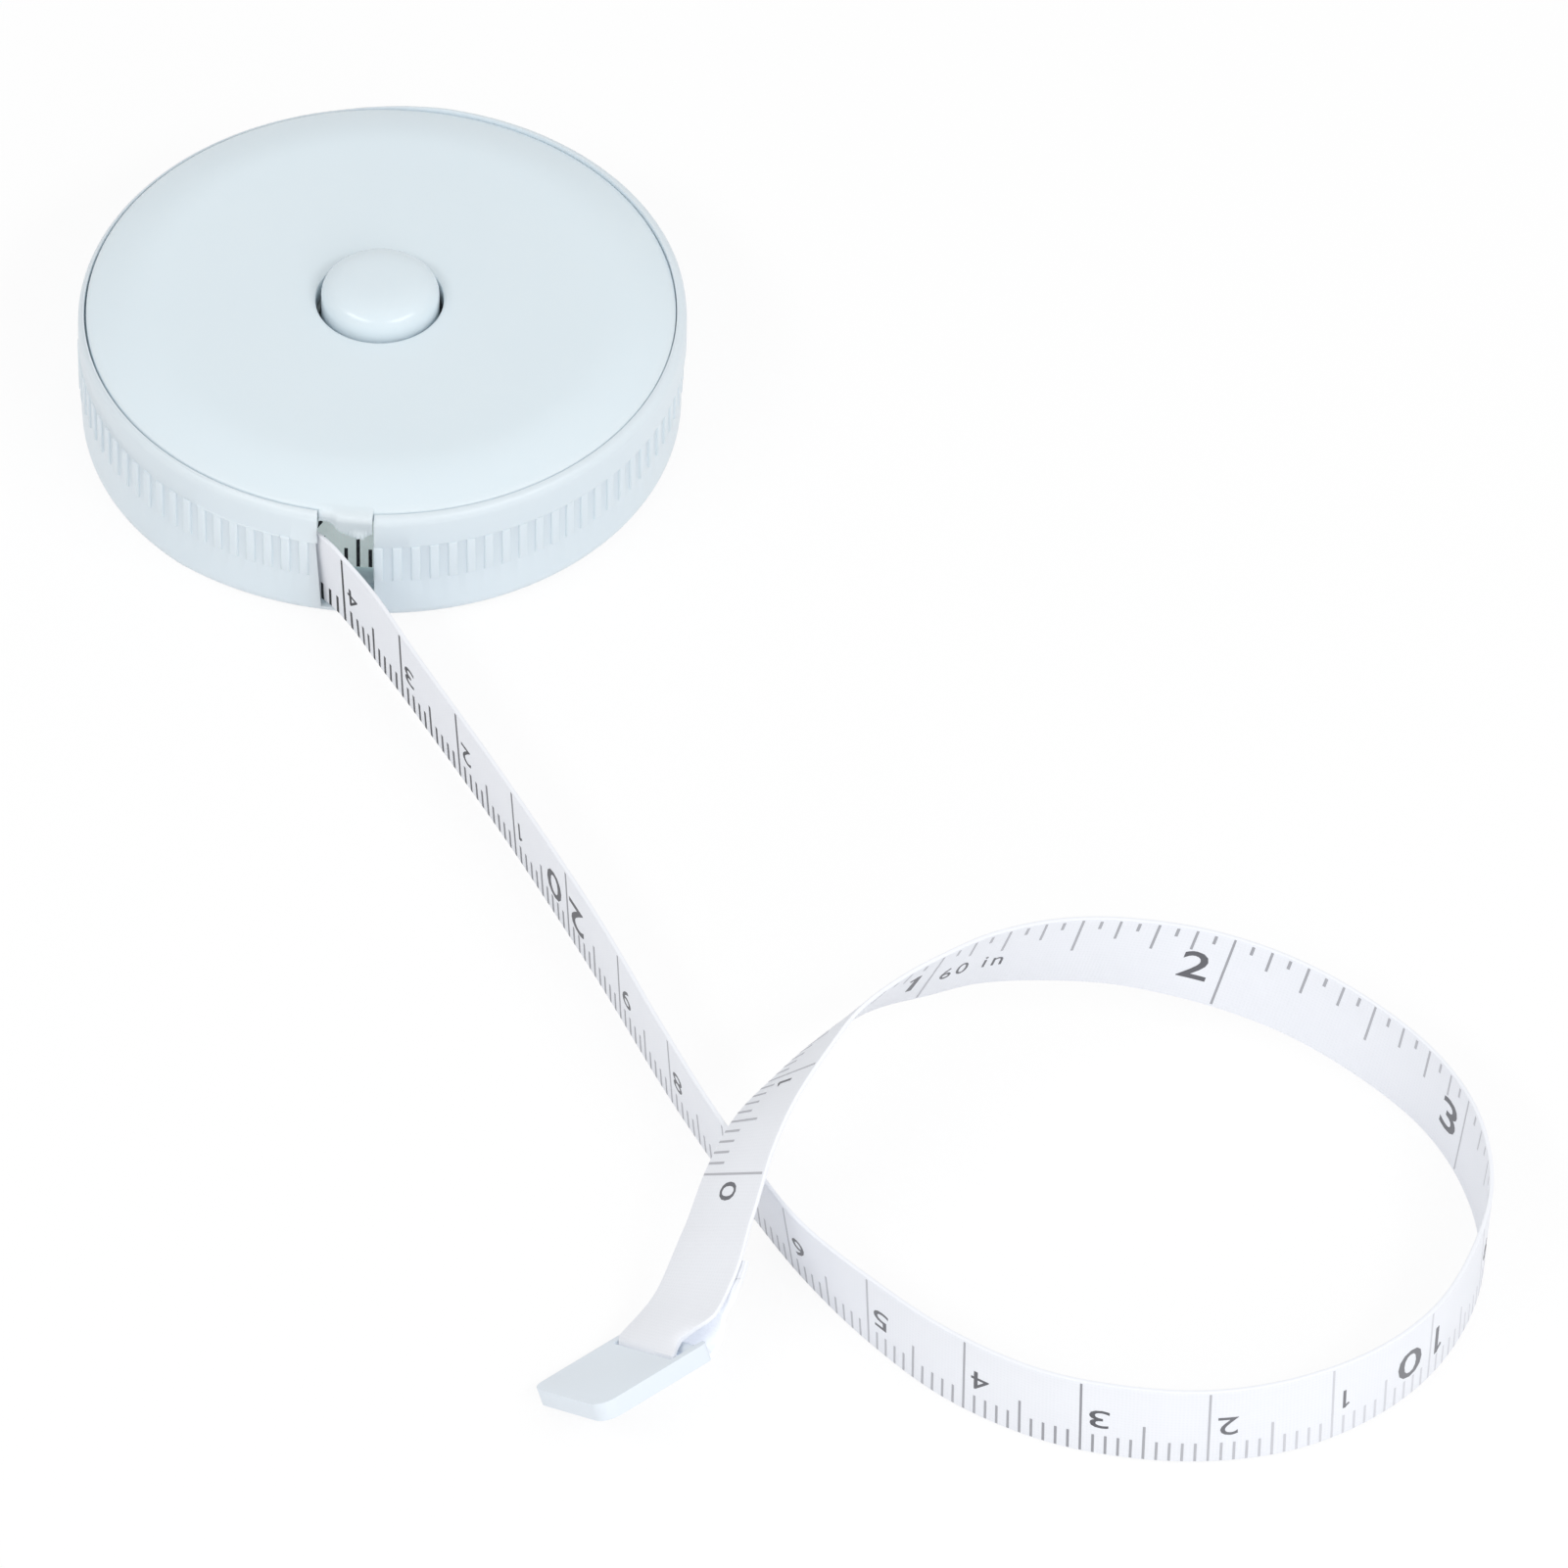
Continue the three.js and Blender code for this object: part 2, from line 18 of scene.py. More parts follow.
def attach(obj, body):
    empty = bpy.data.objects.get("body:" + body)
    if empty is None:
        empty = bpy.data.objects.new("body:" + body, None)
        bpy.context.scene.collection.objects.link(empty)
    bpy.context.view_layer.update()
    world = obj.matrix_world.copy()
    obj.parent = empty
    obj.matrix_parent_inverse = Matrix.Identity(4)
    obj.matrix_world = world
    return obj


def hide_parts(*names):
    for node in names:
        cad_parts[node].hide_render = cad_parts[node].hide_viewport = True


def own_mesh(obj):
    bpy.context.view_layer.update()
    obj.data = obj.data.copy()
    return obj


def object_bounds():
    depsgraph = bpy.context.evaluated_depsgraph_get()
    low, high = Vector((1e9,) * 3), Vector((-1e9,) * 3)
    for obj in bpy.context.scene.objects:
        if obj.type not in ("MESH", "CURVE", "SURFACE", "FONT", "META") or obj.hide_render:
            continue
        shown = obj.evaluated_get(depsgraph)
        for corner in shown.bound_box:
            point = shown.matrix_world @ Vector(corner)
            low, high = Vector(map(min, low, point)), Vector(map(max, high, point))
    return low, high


MM = 0.001
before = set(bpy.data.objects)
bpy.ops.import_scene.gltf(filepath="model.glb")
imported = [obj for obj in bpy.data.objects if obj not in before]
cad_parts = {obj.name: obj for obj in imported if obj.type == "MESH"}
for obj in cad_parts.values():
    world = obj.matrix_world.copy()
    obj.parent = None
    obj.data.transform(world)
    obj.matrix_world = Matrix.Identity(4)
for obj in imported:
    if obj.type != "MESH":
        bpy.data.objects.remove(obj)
cad_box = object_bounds()
print("packed model", [[round(value, 4) for value in corner] for corner in cad_box])

# %% [markdown]
# ## Camera
# A long lens from about 1.1 m away, 45 degrees above the table, keeps the round
# case almost free of perspective. The turn is written as three plain rotations,
# so each can be read: around the table, up from straight down, and a small roll.

# %% Camera
def add_object(name, data):
    item = bpy.data.objects.new(name, data)
    bpy.context.scene.collection.objects.link(item)
    return item


camera_place = Vector((0.106489, -0.825426, 0.791539))
camera_data = bpy.data.cameras.new("camera")
camera_data.sensor_width = 36
camera_data.lens = 314.92
camera_data.clip_start = 0.1
camera_data.clip_end = 10
camera = add_object("camera", camera_data)
around_table = Matrix.Rotation(math.radians(5.0), 4, "Z")
up_from_down = Matrix.Rotation(math.radians(44.88), 4, "X")
small_roll = Matrix.Rotation(math.radians(1.1625), 4, "Z")
camera.matrix_world = (
    Matrix.Translation(camera_place) @ around_table @ up_from_down @ small_roll
)
bpy.context.scene.camera = camera
bpy.context.scene.view_settings.view_transform = "Standard"
print("camera at", [round(value, 3) for value in camera.location])

# %% [markdown]
# ## The line that the tape follows
# The tape leaves the case standing on its edge, makes one open loop on the table,
# then rises, leans over and goes down into its end piece. Forty points give the
# middle of the tape, and a fourth number gives its lean from upright in degrees.
# A Catmull-Rom curve goes through every point, so the loop has no kinks.

# %% Route points of the free tape
tape_route = [
    (-12.8, -17.6, 5.4, 0),
    (-9.2, -19.9, 5.4, -1),
    (-5.4, -22.4, 5.2, -3),
    (-1.8, -24.7, 5.05, -4),
    (0.7, -27.4, 4.85, -4),
    (3.6, -31.5, 4.9, -2),
    (7.5, -37.2, 4.7, -4),
    (16.1, -49.9, 4.4, -4),
    (24.9, -64.0, 4.3, -3),
    (31.5, -75.4, 4.1, -4),
    (35.9, -82.6, 4.0, -6),
    (40.2, -89.0, 3.9, -7),
    (44.9, -95.3, 3.9, -8),
    (50.7, -101.0, 4.0, -3),
    (57.1, -105.9, 4.0, 0),
    (64.2, -109.3, 4.1, 0),
    (71.1, -110.6, 4.2, 1),
    (78.1, -110.3, 4.2, 1),
    (84.7, -108.2, 4.2, 2),
    (90.5, -104.3, 4.2, 0),
    (94.8, -99.0, 4.2, -1),
    (97.3, -92.2, 4.1, 0),
    (97.9, -85.4, 4.0, -3),
    (96.2, -78.6, 4.1, -7),
    (92.7, -72.6, 4.0, -8),
    (87.5, -68.1, 4.5, -8),
    (81.2, -65.2, 5.8, -6),
    (74.5, -64.1, 7.3, -3),
    (67.9, -64.7, 9.0, 3),
    (62.1, -66.4, 10.4, 8),
    (57.0, -68.9, 11.5, 16),
    (52.9, -71.9, 12.1, 22),
    (49.1, -75.0, 12.5, 30),
    (45.9, -78.9, 12.6, 33),
    (43.4, -83.1, 12.2, 39),
    (41.0, -87.6, 11.4, 46),
    (39.5, -91.7, 9.9, 48),
    (38.3, -96.5, 7.5, 51),
    (36.8, -101.8, 5.2, 58),
    (34.1, -106.3, 3.9, 60),
]


def smooth_through(rows, count):
    """Values read from a Catmull-Rom curve through the rows, at evenly spread places."""
    rows = np.array(rows, float)
    padded = np.vstack([2 * rows[0] - rows[1], rows, 2 * rows[-1] - rows[-2]])
    place = np.linspace(0, len(rows) - 1, count)
    span = np.minimum(place.astype(int), len(rows) - 2)
    w = (place - span)[:, None]
    a, b, c, d = padded[span], padded[span + 1], padded[span + 2], padded[span + 3]
    cubic = (3 * b - a - 3 * c + d) * w**3
    return 0.5 * (2 * b + (c - a) * w + (2 * a - 5 * b + 4 * c - d) * w**2 + cubic)


def unit(rows):
    return rows / np.linalg.norm(rows, axis=1)[:, None]


def tape_line(points, across):
    """Stations along a line of points, with the ways across and through the tape there."""
    steps = np.linalg.norm(np.diff(points, axis=0), axis=1)
    station = np.concatenate([[0], np.cumsum(steps)])
    along = unit(np.gradient(points, axis=0))
    across = unit(across - along * (across * along).sum(axis=1)[:, None])
    through = np.cross(along, across)
    return {"station": station, "point": points, "across": across, "through": through}


route_samples = 3200
smooth_rows = smooth_through(tape_route, route_samples)
route_points = smooth_rows[:, :3] * MM
along_route = unit(np.gradient(route_points, axis=0))
to_the_side = [-along_route[:, 1], along_route[:, 0], 0 * along_route[:, 0]]
level_side = unit(np.stack(to_the_side, axis=1))
upright = np.cross(along_route, level_side)
lean = np.radians(smooth_rows[:, 3:4])
free_line = tape_line(route_points, np.cos(lean) * upright + np.sin(lean) * level_side)
free_length = float(free_line["station"][-1])
print("free tape", round(free_length / MM, 1), "mm along its middle")

# %% [markdown]
# ## The line goes on round the bar of the end piece
# The cloth goes down through the window of the end piece, under its flat bar and up
# behind the tape, where its last few millimetres are glued. The line is carried on
# the same way, in the end piece's own directions, so that the fold has no crease.

# %% Fold round the bar
tab_width, tab_thickness = 9.6, 1.5
tab_heading = math.radians(-134.3)
tab_tilt = math.radians(30)
tab_lift = tab_width / 2 * math.sin(tab_tilt) + tab_thickness / 2 * math.cos(tab_tilt)
tab_place = (
    Matrix.Translation(Vector((35.93, -105.12, tab_lift)) * MM)
    @ Matrix.Rotation(tab_heading, 4, "Z")
    @ Matrix.Rotation(tab_tilt, 4, "X")
)
turn_place, turn_radius = 2.0, 0.925
glue_start, tail_length = 6.0, 8.2
glue_depth = 0.42
lead_in = (-141, -71, -1)
samples_each = 40


def at_station(line, key, station):
    columns = line[key].T
    return np.array([np.interp(station, line["station"], column) for column in columns])


def arc_points(x, z, size, start, end, count):
    angles = np.radians(np.linspace(start, end, count))
    return [(x + size * math.cos(a), z + size * math.sin(a)) for a in angles]


fold_places = [(free_line["point"][i], free_line["across"][i]) for i in lead_in]
bar_across = np.array(tab_place.to_3x3() @ Vector((0, 1, 0)))
down = arc_points(turn_place, 0.0, turn_radius, 60, -90, 6)
up = [(0.2, -0.93), (-0.8, -0.7), (-1.6, -0.1), (-2.2, 0.75), (-2.78, 1.58)]
for x, z in [*down, *up]:
    fold_places.append((np.array(tab_place @ (Vector((x, 0, z)) * MM)), bar_across))
for back in np.linspace(glue_start, tail_length, 4):
    station = free_length - back * MM
    across_here = at_station(free_line, "across", station)
    under = at_station(free_line, "through", station) * -glue_depth * MM
    aside = across_here * (0.5 - 0.06 * (back - glue_start)) * MM
    point = at_station(free_line, "point", station)
    fold_places.append((point + under + aside, across_here))
fold_rows = [np.concatenate([point / MM, across]) for point, across in fold_places]
fold_rows = smooth_through(fold_rows, samples_each * (len(fold_rows) - 1) + 1)
fold_rows = fold_rows[samples_each * (len(lead_in) - 1) + 1 :]
whole_line = tape_line(
    np.vstack([free_line["point"], fold_rows[:, :3] * MM]),
    np.vstack([free_line["across"], fold_rows[:, 3:]]),
)
whole_length = float(whole_line["station"][-1])
print("folded end", round((whole_length - free_length) / MM, 2), "mm")

# %% [markdown]
# ## Wrapping flat work onto a line
# Everything on the tape is first made flat, as on a cutting table: X runs along
# the tape, Y across it and Z through it. `wrap` then carries each vertex to its
# place on the line. The same call bends the cloth, its folded end and the print.

# %% Helpers for every piece
def wrap(shape, line):
    """Carries a flat shape's vertices to their places on a line."""
    flat = np.array([vertex.co for vertex in shape.verts])

    def read(key):
        return at_station(line, key, flat[:, 0]).T

    placed = read("point") + read("across") * flat[:, 1:2]
    placed += read("through") * flat[:, 2:3]
    for vertex, place in zip(shape.verts, placed):
        vertex.co = place


def as_mesh(name, shape):
    """The shape as a mesh, after which the shape itself is let go."""
    mesh = bpy.data.meshes.new(name)
    shape.to_mesh(mesh)
    shape.free()
    return mesh


def finished(name, shape, body, material, crease=35, outward=True):
    """The mesh object of a piece, riding on its body, smooth but for its creases."""
    if outward:
        bmesh.ops.recalc_face_normals(shape, faces=shape.faces)
    for face in shape.faces:
        face.smooth = True
    for edge in shape.edges:
        edge.smooth = edge.calc_face_angle(0) < math.radians(crease)
    mesh = as_mesh(name, shape)
    mesh.materials.append(material)
    piece = add_object(name, mesh)
    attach(piece, body)
    print(name, len(mesh.vertices), "vertices")
    return piece


def soften(shape, geom, size, affect, segments, **limits):
    """Rounds corners (VERTICES) or edges (EDGES) by a size in millimetres."""
    return bmesh.ops.bevel(
        shape,
        geom=geom,
        offset=size * MM,
        offset_type="OFFSET",
        affect=affect,
        segments=segments,
        profile=0.5,
        material=-1,
        **limits,
    )


def sweep(shape, geom, steps, angle=0.0, stride=0.0, merge=False):
    """Turns geometry about Z, or carries it along X in strides. Gives its last edges."""
    swept = bmesh.ops.spin(
        shape,
        geom=geom,
        cent=(0, 0, 0),
        axis=(0, 0, 1),
        dvec=(stride, 0, 0),
        angle=angle,
        steps=steps,
        use_merge=merge,
    )
    return [item for item in swept["geom_last"] if isinstance(item, bmesh.types.BMEdge)]


def turned(profile, steps, closed=False):
    """A lathe piece from [radius, height] points in millimetres."""
    shape = bmesh.new()
    points = [shape.verts.new((radius * MM, 0, height * MM)) for radius, height in profile]
    edges = [shape.edges.new(pair) for pair in zip(points, points[1:])]
    if closed:
        edges.append(shape.edges.new((points[-1], points[0])))
    sweep(shape, points + edges, steps, angle=math.tau, merge=True)
    bmesh.ops.remove_doubles(shape, verts=shape.verts, dist=0.002 * MM)
    return shape


def quarter(radius, height, size, start, end, count=6):
    """Points of an arc in a lathe profile, its angles in degrees from outwards."""
    angles = np.radians(np.linspace(start, end, count + 1))
    return [(radius + size * math.cos(a), height + size * math.sin(a)) for a in angles]


def linear(red, green, blue):
    """A colour as seen on a screen, 0 to 255, turned into the light values nodes use."""
    shares = [value / 255 for value in (red, green, blue)]
    light = [s / 12.92 if s <= 0.04045 else ((s + 0.055) / 1.055) ** 2.4 for s in shares]
    return (*light, 1)


# %% [markdown]
# ## Finishes
# Two shared effects are made once as node groups. `moulded` is the skin of an
# injection moulding: faint clouds in the colour, a little unevenness in the gloss,
# soft ripples left by the tool, and a few specks of dust. `woven` is coated cloth:
# crossing threads under a smooth film. Each group gives a colour, a roughness and a
# normal, and the plain numbers stay on the shader of each material.

# %% Node helpers
def feed(tree, socket, value):
    """Links a node's output into a socket, or sets a plain value on it."""
    if isinstance(value, bpy.types.NodeSocket):
        tree.links.new(value, socket)
    else:
        socket.default_value = value


def add_node(tree, kind, settings=(), **values):
    node = tree.nodes.new(kind)
    for name, value in dict(settings).items():
        setattr(node, name, value)
    for name, value in values.items():
        feed(tree, node.inputs[name.replace("_", " ")], value)
    return node


def effect(name, inputs):
    """An empty shader group with its inputs, and a colour, a roughness and a normal out."""
    group = bpy.data.node_groups.new(name, "ShaderNodeTree")
    make = group.interface.new_socket
    for label, kind, value in inputs:
        socket = make(label, in_out="INPUT", socket_type="NodeSocket" + kind)
        socket.default_value = value
    for label, kind in (("Colour", "Color"), ("Roughness", "Float"), ("Normal", "Vector")):
        make(label, in_out="OUTPUT", socket_type="NodeSocket" + kind)
    return group, group.nodes.new("NodeGroupInput"), group.nodes.new("NodeGroupOutput")


def fill(tree, node, *values):
    """Feeds a node's inputs in their order, and gives its outputs."""
    for socket, value in zip(node.inputs, values):
        feed(tree, socket, value)
    return node.outputs


def math_node(tree, operation, first, second=0.0):
    node = add_node(tree, "ShaderNodeMath", {"operation": operation})
    return fill(tree, node, first, second)[0]


def blend_colours(tree, share, first, second):
    node = add_node(tree, "ShaderNodeMix", {"data_type": "RGBA"})
    for index, value in ((0, share), (6, first), (7, second)):
        feed(tree, node.inputs[index], value)
    return node.outputs[2]


# %% The skin of a moulding
moulded, group_in, group_out = effect(
    "moulded",
    [
        ("Base", "Color", linear(222, 233, 238)),
        ("Shade", "Color", linear(212, 226, 234)),
        ("Gloss", "Float", 0.3),
        ("Dust", "Float", 0.0),
    ],
)
place = add_node(moulded, "ShaderNodeTexCoord").outputs["Object"]
clouds = add_node(moulded, "ShaderNodeTexNoise", Vector=place, Scale=70.0, Detail=3.0)
grain = add_node(moulded, "ShaderNodeTexNoise", Vector=place, Scale=2600.0, Detail=2.0)
ripple = add_node(moulded, "ShaderNodeTexNoise", Vector=place, Scale=190.0, Detail=1.0)
cloud_share = math_node(moulded, "MULTIPLY", clouds.outputs["Fac"], 0.55)
given = group_in.outputs
tone = blend_colours(moulded, cloud_share, given["Base"], given["Shade"])
specks = add_node(moulded, "ShaderNodeTexVoronoi", Vector=place, Scale=210.0)
speck_size = add_node(moulded, "ShaderNodeTexNoise", Vector=place, Scale=120.0, Detail=0.0)
speck_limit = math_node(moulded, "SUBTRACT", speck_size.outputs["Fac"], 0.6)
speck_limit = math_node(moulded, "MULTIPLY", speck_limit, 0.25)
speck_mask = math_node(moulded, "LESS_THAN", specks.outputs["Distance"], speck_limit)
speck_mask = math_node(moulded, "MULTIPLY", speck_mask, given["Dust"])
tone = blend_colours(moulded, speck_mask, tone, linear(150, 158, 164))
grain_gloss = math_node(moulded, "MULTIPLY", grain.outputs["Fac"], 0.08)
gloss = math_node(moulded, "ADD", given["Gloss"], grain_gloss)
ripples = ripple.outputs["Fac"]
ripple_bump = add_node(
    moulded, "ShaderNodeBump", Height=ripples, Strength=0.05, Distance=0.4 * MM
)
grain_bump = add_node(
    moulded,
    "ShaderNodeBump",
    Height=grain.outputs["Fac"],
    Strength=0.06,
    Distance=0.05 * MM,
    Normal=ripple_bump.outputs["Normal"],
)
fill(moulded, group_out, tone, gloss, grain_bump.outputs["Normal"])

# %% Coated cloth, read from the tape's own flat pattern in millimetres
woven, group_in, group_out = effect(
    "woven",
    [
        ("Base", "Color", linear(245, 247, 252)),
        ("Thread", "Color", linear(235, 238, 244)),
        ("Gloss", "Float", 0.5),
    ],
)
flat_place = add_node(woven, "ShaderNodeUVMap", {"uv_map": "flat"}).outputs["UV"]
warp, weft = (
    add_node(
        woven,
        "ShaderNodeTexWave",
        {"bands_direction": direction},
        Vector=flat_place,
        Scale=1.05,
        Distortion=0.4,
    )
    for direction in "XY"
)
threads = math_node(woven, "MULTIPLY", warp.outputs["Fac"], weft.outputs["Fac"])
soiling = add_node(woven, "ShaderNodeTexNoise", Vector=flat_place, Scale=0.35, Detail=4.0)
worn_share = math_node(woven, "ADD", threads, soiling.outputs["Fac"])
share = math_node(woven, "MULTIPLY", worn_share, 0.35)
tone = blend_colours(woven, share, group_in.outputs["Base"], group_in.outputs["Thread"])
uneven = math_node(woven, "MULTIPLY", soiling.outputs["Fac"], 0.12)
gloss = math_node(woven, "ADD", group_in.outputs["Gloss"], uneven)
thread_bump = add_node(
    woven, "ShaderNodeBump", Height=threads, Strength=0.12, Distance=0.06 * MM
)
fill(woven, group_out, tone, gloss, thread_bump.outputs["Normal"])


# %% Materials
def material_with(name, group, colours, metallic=0.0, specular=0.5, glow_through=0.0):
    """A material whose shader reads one of the shared effects."""
    material = bpy.data.materials.new(name)
    material.use_nodes = True
    tree = material.node_tree
    sockets = tree.nodes["Principled BSDF"].inputs
    sockets["Metallic"].default_value = metallic
    sockets["Specular IOR Level"].default_value = specular
    sockets["Subsurface Weight"].default_value = glow_through
    sockets["Subsurface Radius"].default_value = (1.0, 1.0, 1.0)
    sockets["Subsurface Scale"].default_value = 1.0 * MM
    node = add_node(tree, "ShaderNodeGroup", {"node_tree": group}, **colours)
    tree.links.new(node.outputs["Colour"], sockets["Base Color"])
    tree.links.new(node.outputs["Roughness"], sockets["Roughness"])
    tree.links.new(node.outputs["Normal"], sockets["Normal"])
    return material


def moulding(name, base, shade, gloss, dust=0.0, **shader_values):
    """A moulded material with its two tones, as seen on a screen, and its gloss."""
    colours = {"Base": linear(*base), "Shade": linear(*shade), "Gloss": gloss, "Dust": dust}
    return material_with(name, moulded, colours, **shader_values)


case_plastic = moulding(
    "case plastic", (225, 235, 241), (217, 229, 237), 0.3, glow_through=0.35
)
cover_plastic = moulding(
    "cover plastic", (228, 239, 245), (222, 234, 241), 0.3, dust=1.0, glow_through=0.35
)
button_plastic = moulding(
    "button plastic", (226, 237, 243), (220, 232, 239), 0.16, glow_through=0.4
)
tab_plastic = moulding("tab plastic", (232, 240, 247), (224, 233, 242), 0.36)
reel_plastic = moulding("reel plastic", (203, 212, 214), (190, 200, 203), 0.45)
brake_rubber = moulding("brake rubber", (74, 78, 80), (60, 64, 66), 0.8)
spring_steel = moulding(
    "spring steel", (176, 180, 184), (150, 154, 158), 0.25, metallic=1.0
)
tape_cloth = material_with("tape cloth", woven, {}, specular=0.4)
ink = material_with("black ink", moulded, {"Gloss": 0.5})

# %% Ink set paler or darker stretch by stretch along the tape, by the distance from zero
ink_tone_length = 260
tree = ink.node_tree
flat_place = add_node(tree, "ShaderNodeUVMap", {"uv_map": "flat"}).outputs["UV"]
marked = add_node(tree, "ShaderNodeSeparateXYZ", Vector=flat_place)
ink_tone_share = math_node(tree, "MULTIPLY", marked.outputs["X"], 1 / ink_tone_length)
ink_tone_ramp = add_node(tree, "ShaderNodeValToRGB", Fac=ink_tone_share)
stops = ink_tone_ramp.color_ramp.elements
stops[0].color = linear(186, 187, 193)
stops[1].color = linear(30, 31, 37)
# The ink's grey at each distance from zero in millimetres; the figures are mixed darker
ramp = [(25, 196), (50, 164), (76, 198), (92, 220), (112, 212), (130, 150)]
ramp += [(150, 194), (172, 190), (195, 158), (212, 126), (222, 80), (242, 34)]
for distance, grey in ramp:
    stops.new(distance / ink_tone_length).color = linear(grey, grey + 1, grey + 7)
figure_share = math_node(tree, "MULTIPLY", marked.outputs["Y"], 0.72)
ink_tone_colour = blend_colours(tree, figure_share, ink_tone_ramp.outputs["Color"], linear(44, 46, 54))
printed = next(node for node in tree.nodes if node.type == "GROUP")
tree.links.new(ink_tone_colour, printed.inputs["Base"])
tree.links.new(ink_tone_colour, printed.inputs["Shade"])

# %% Cloth wound inside the case, with a painted green tint and a painted glow (emission) for the green light that the plastic lets in
# Painted green tint: the white cloth's two tones are made green for the light inside the
# case
painted_green_light_tones = {"Base": linear(238, 246, 244), "Thread": linear(226, 236, 234)}
wound_cloth = material_with("wound cloth", woven, painted_green_light_tones, specular=0.4)
painted_glow_inputs = wound_cloth.node_tree.nodes["Principled BSDF"].inputs
# Painted glow: the cloth's emission lights the shade inside the case
painted_glow_inputs["Emission Color"].default_value = linear(224, 236, 232)
painted_glow_inputs["Emission Strength"].default_value = 0.21

# %% Cloth folded round the bar, with a painted glow (emission) that lights the shade inside the fold
folded_cloth = material_with("folded cloth", woven, {}, specular=0.4)
tree = folded_cloth.node_tree
flat_place = add_node(tree, "ShaderNodeUVMap", {"uv_map": "flat"}).outputs["UV"]
station = add_node(tree, "ShaderNodeSeparateXYZ", Vector=flat_place).outputs["X"]
# Painted glow: the emission fades out between 9 and 11 mm past the free tape's end
glued = add_node(
    tree,
    "ShaderNodeMapRange",
    Value=station,
    From_Min=free_length / MM + 9.0,
    From_Max=free_length / MM + 11.0,
)
painted_glow_colour = blend_colours(tree, glued.outputs["Result"], (0.24, 0.25, 0.27, 1), (0, 0, 0, 1))
tree.links.new(painted_glow_colour, tree.nodes["Principled BSDF"].inputs["Emission Color"])
tree.nodes["Principled BSDF"].inputs["Emission Strength"].default_value = 1.0
print(len(bpy.data.materials), "materials")

# %% [markdown]
# ## The free tape
# The real tape is a strip of coated cloth 7.8 mm wide. Its flat shape is a small
# rounded rectangle, seen end on, that a spin without any turning carries along X in
# equal steps. The steps are short enough for the tightest bend of the loop. The
# flat pattern is kept as UVs in millimetres, so that the weave follows the bends.

# %% Strip of cloth
tape_width = 7.8 * MM
tape_thickness = 0.35 * MM


def strip(length, steps, thickness=tape_thickness, start=0.0):
    """A flat strip of cloth along X, its pattern counted from the tape's own start."""
    shape = bmesh.new()
    half_width = tape_width / 2
    half_thickness = thickness / 2
    corners = [(-1, -1), (1, -1), (1, 1), (-1, 1)]
    section = [shape.verts.new((0, y * half_width, z * half_thickness)) for y, z in corners]
    shape.faces.new(section)
    soften(shape, section, 0.09, "VERTICES", 3)
    outline = list(shape.verts) + list(shape.edges)
    last = sweep(shape, outline, steps, stride=length / steps)
    bmesh.ops.holes_fill(shape, edges=last, sides=0)
    bmesh.ops.translate(shape, verts=shape.verts, vec=(start, 0, 0))
    flat = shape.loops.layers.uv.new("flat")
    for face in shape.faces:
        for loop in face.loops:
            loop[flat].uv = (loop.vert.co.x / MM, loop.vert.co.y / MM)
    return shape


def divide(shape, place, facing):
    """Cuts the faces in two along a plane, so that they can bend there."""
    everything = list(shape.verts) + list(shape.edges) + list(shape.faces)
    bmesh.ops.bisect_plane(
        shape, geom=everything, dist=1e-8, plane_co=place, plane_no=facing
    )


past_bar = 1.5 * MM
tape = strip(free_length + past_bar, 424)

# The right margin curls under where the cloth dives into the window
for height in (0.6, 1.1, 1.6, 2.0, 2.4, 2.8, 3.1, 3.4, 3.65):
    divide(tape, (0, height * MM, 0), (0, 1, 0))
for vertex in tape.verts:
    past_root = (vertex.co.x - free_length) / MM
    places = (-6.0, -4.3, -3.3, -2.7, -2.0, -1.0, -0.2, 0.8)
    curl = np.interp(past_root, places, (0, -0.25, -0.35, 0.05, 0.55, 1.0, 0.7, 0.2))
    curl *= np.interp(vertex.co.y, (0.8 * MM, 3.9 * MM), (0, 1)) ** 2
    vertex.co -= Vector((0, 1.5 * curl, 0.4 * max(curl, 0))) * MM
wrap(tape, whole_line)
tape = finished("tape", tape, "case", tape_cloth)
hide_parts("tape_free")

# %% [markdown]
# ## The printed scale
# Real ink is a film too thin to measure. Here each mark is a thin closed plate let
# into the cloth and standing 0.015 mm proud of it, so it keeps a crisp edge at any
# distance and survives export, which a picture would not. Marks are drawn as on
# paper: the distance from zero runs right, the ticks hang from the upper edge. Then
# the centimetre drawing is turned onto one face and the inch drawing onto the other.

# %% Marks and figures
plain_leader = 15.6 * MM
zero_station = free_length - plain_leader
ink_proud = 0.015 * MM
ink_sunk = 0.02 * MM
capital_share = 0.73
slice_width = 0.4


def mark(drawing, distance, low, high, stroke):
    """A tick at a distance from zero, between two heights, all in millimetres."""
    corners = bmesh.ops.create_cube(drawing, size=1)["verts"]
    size = Vector((stroke * MM, (high - low) * MM, ink_proud + ink_sunk))
    bmesh.ops.scale(drawing, verts=corners, vec=size)
    middle = Vector((distance, (low + high) / 2, 0)) * MM
    bmesh.ops.translate(drawing, verts=corners, vec=middle)


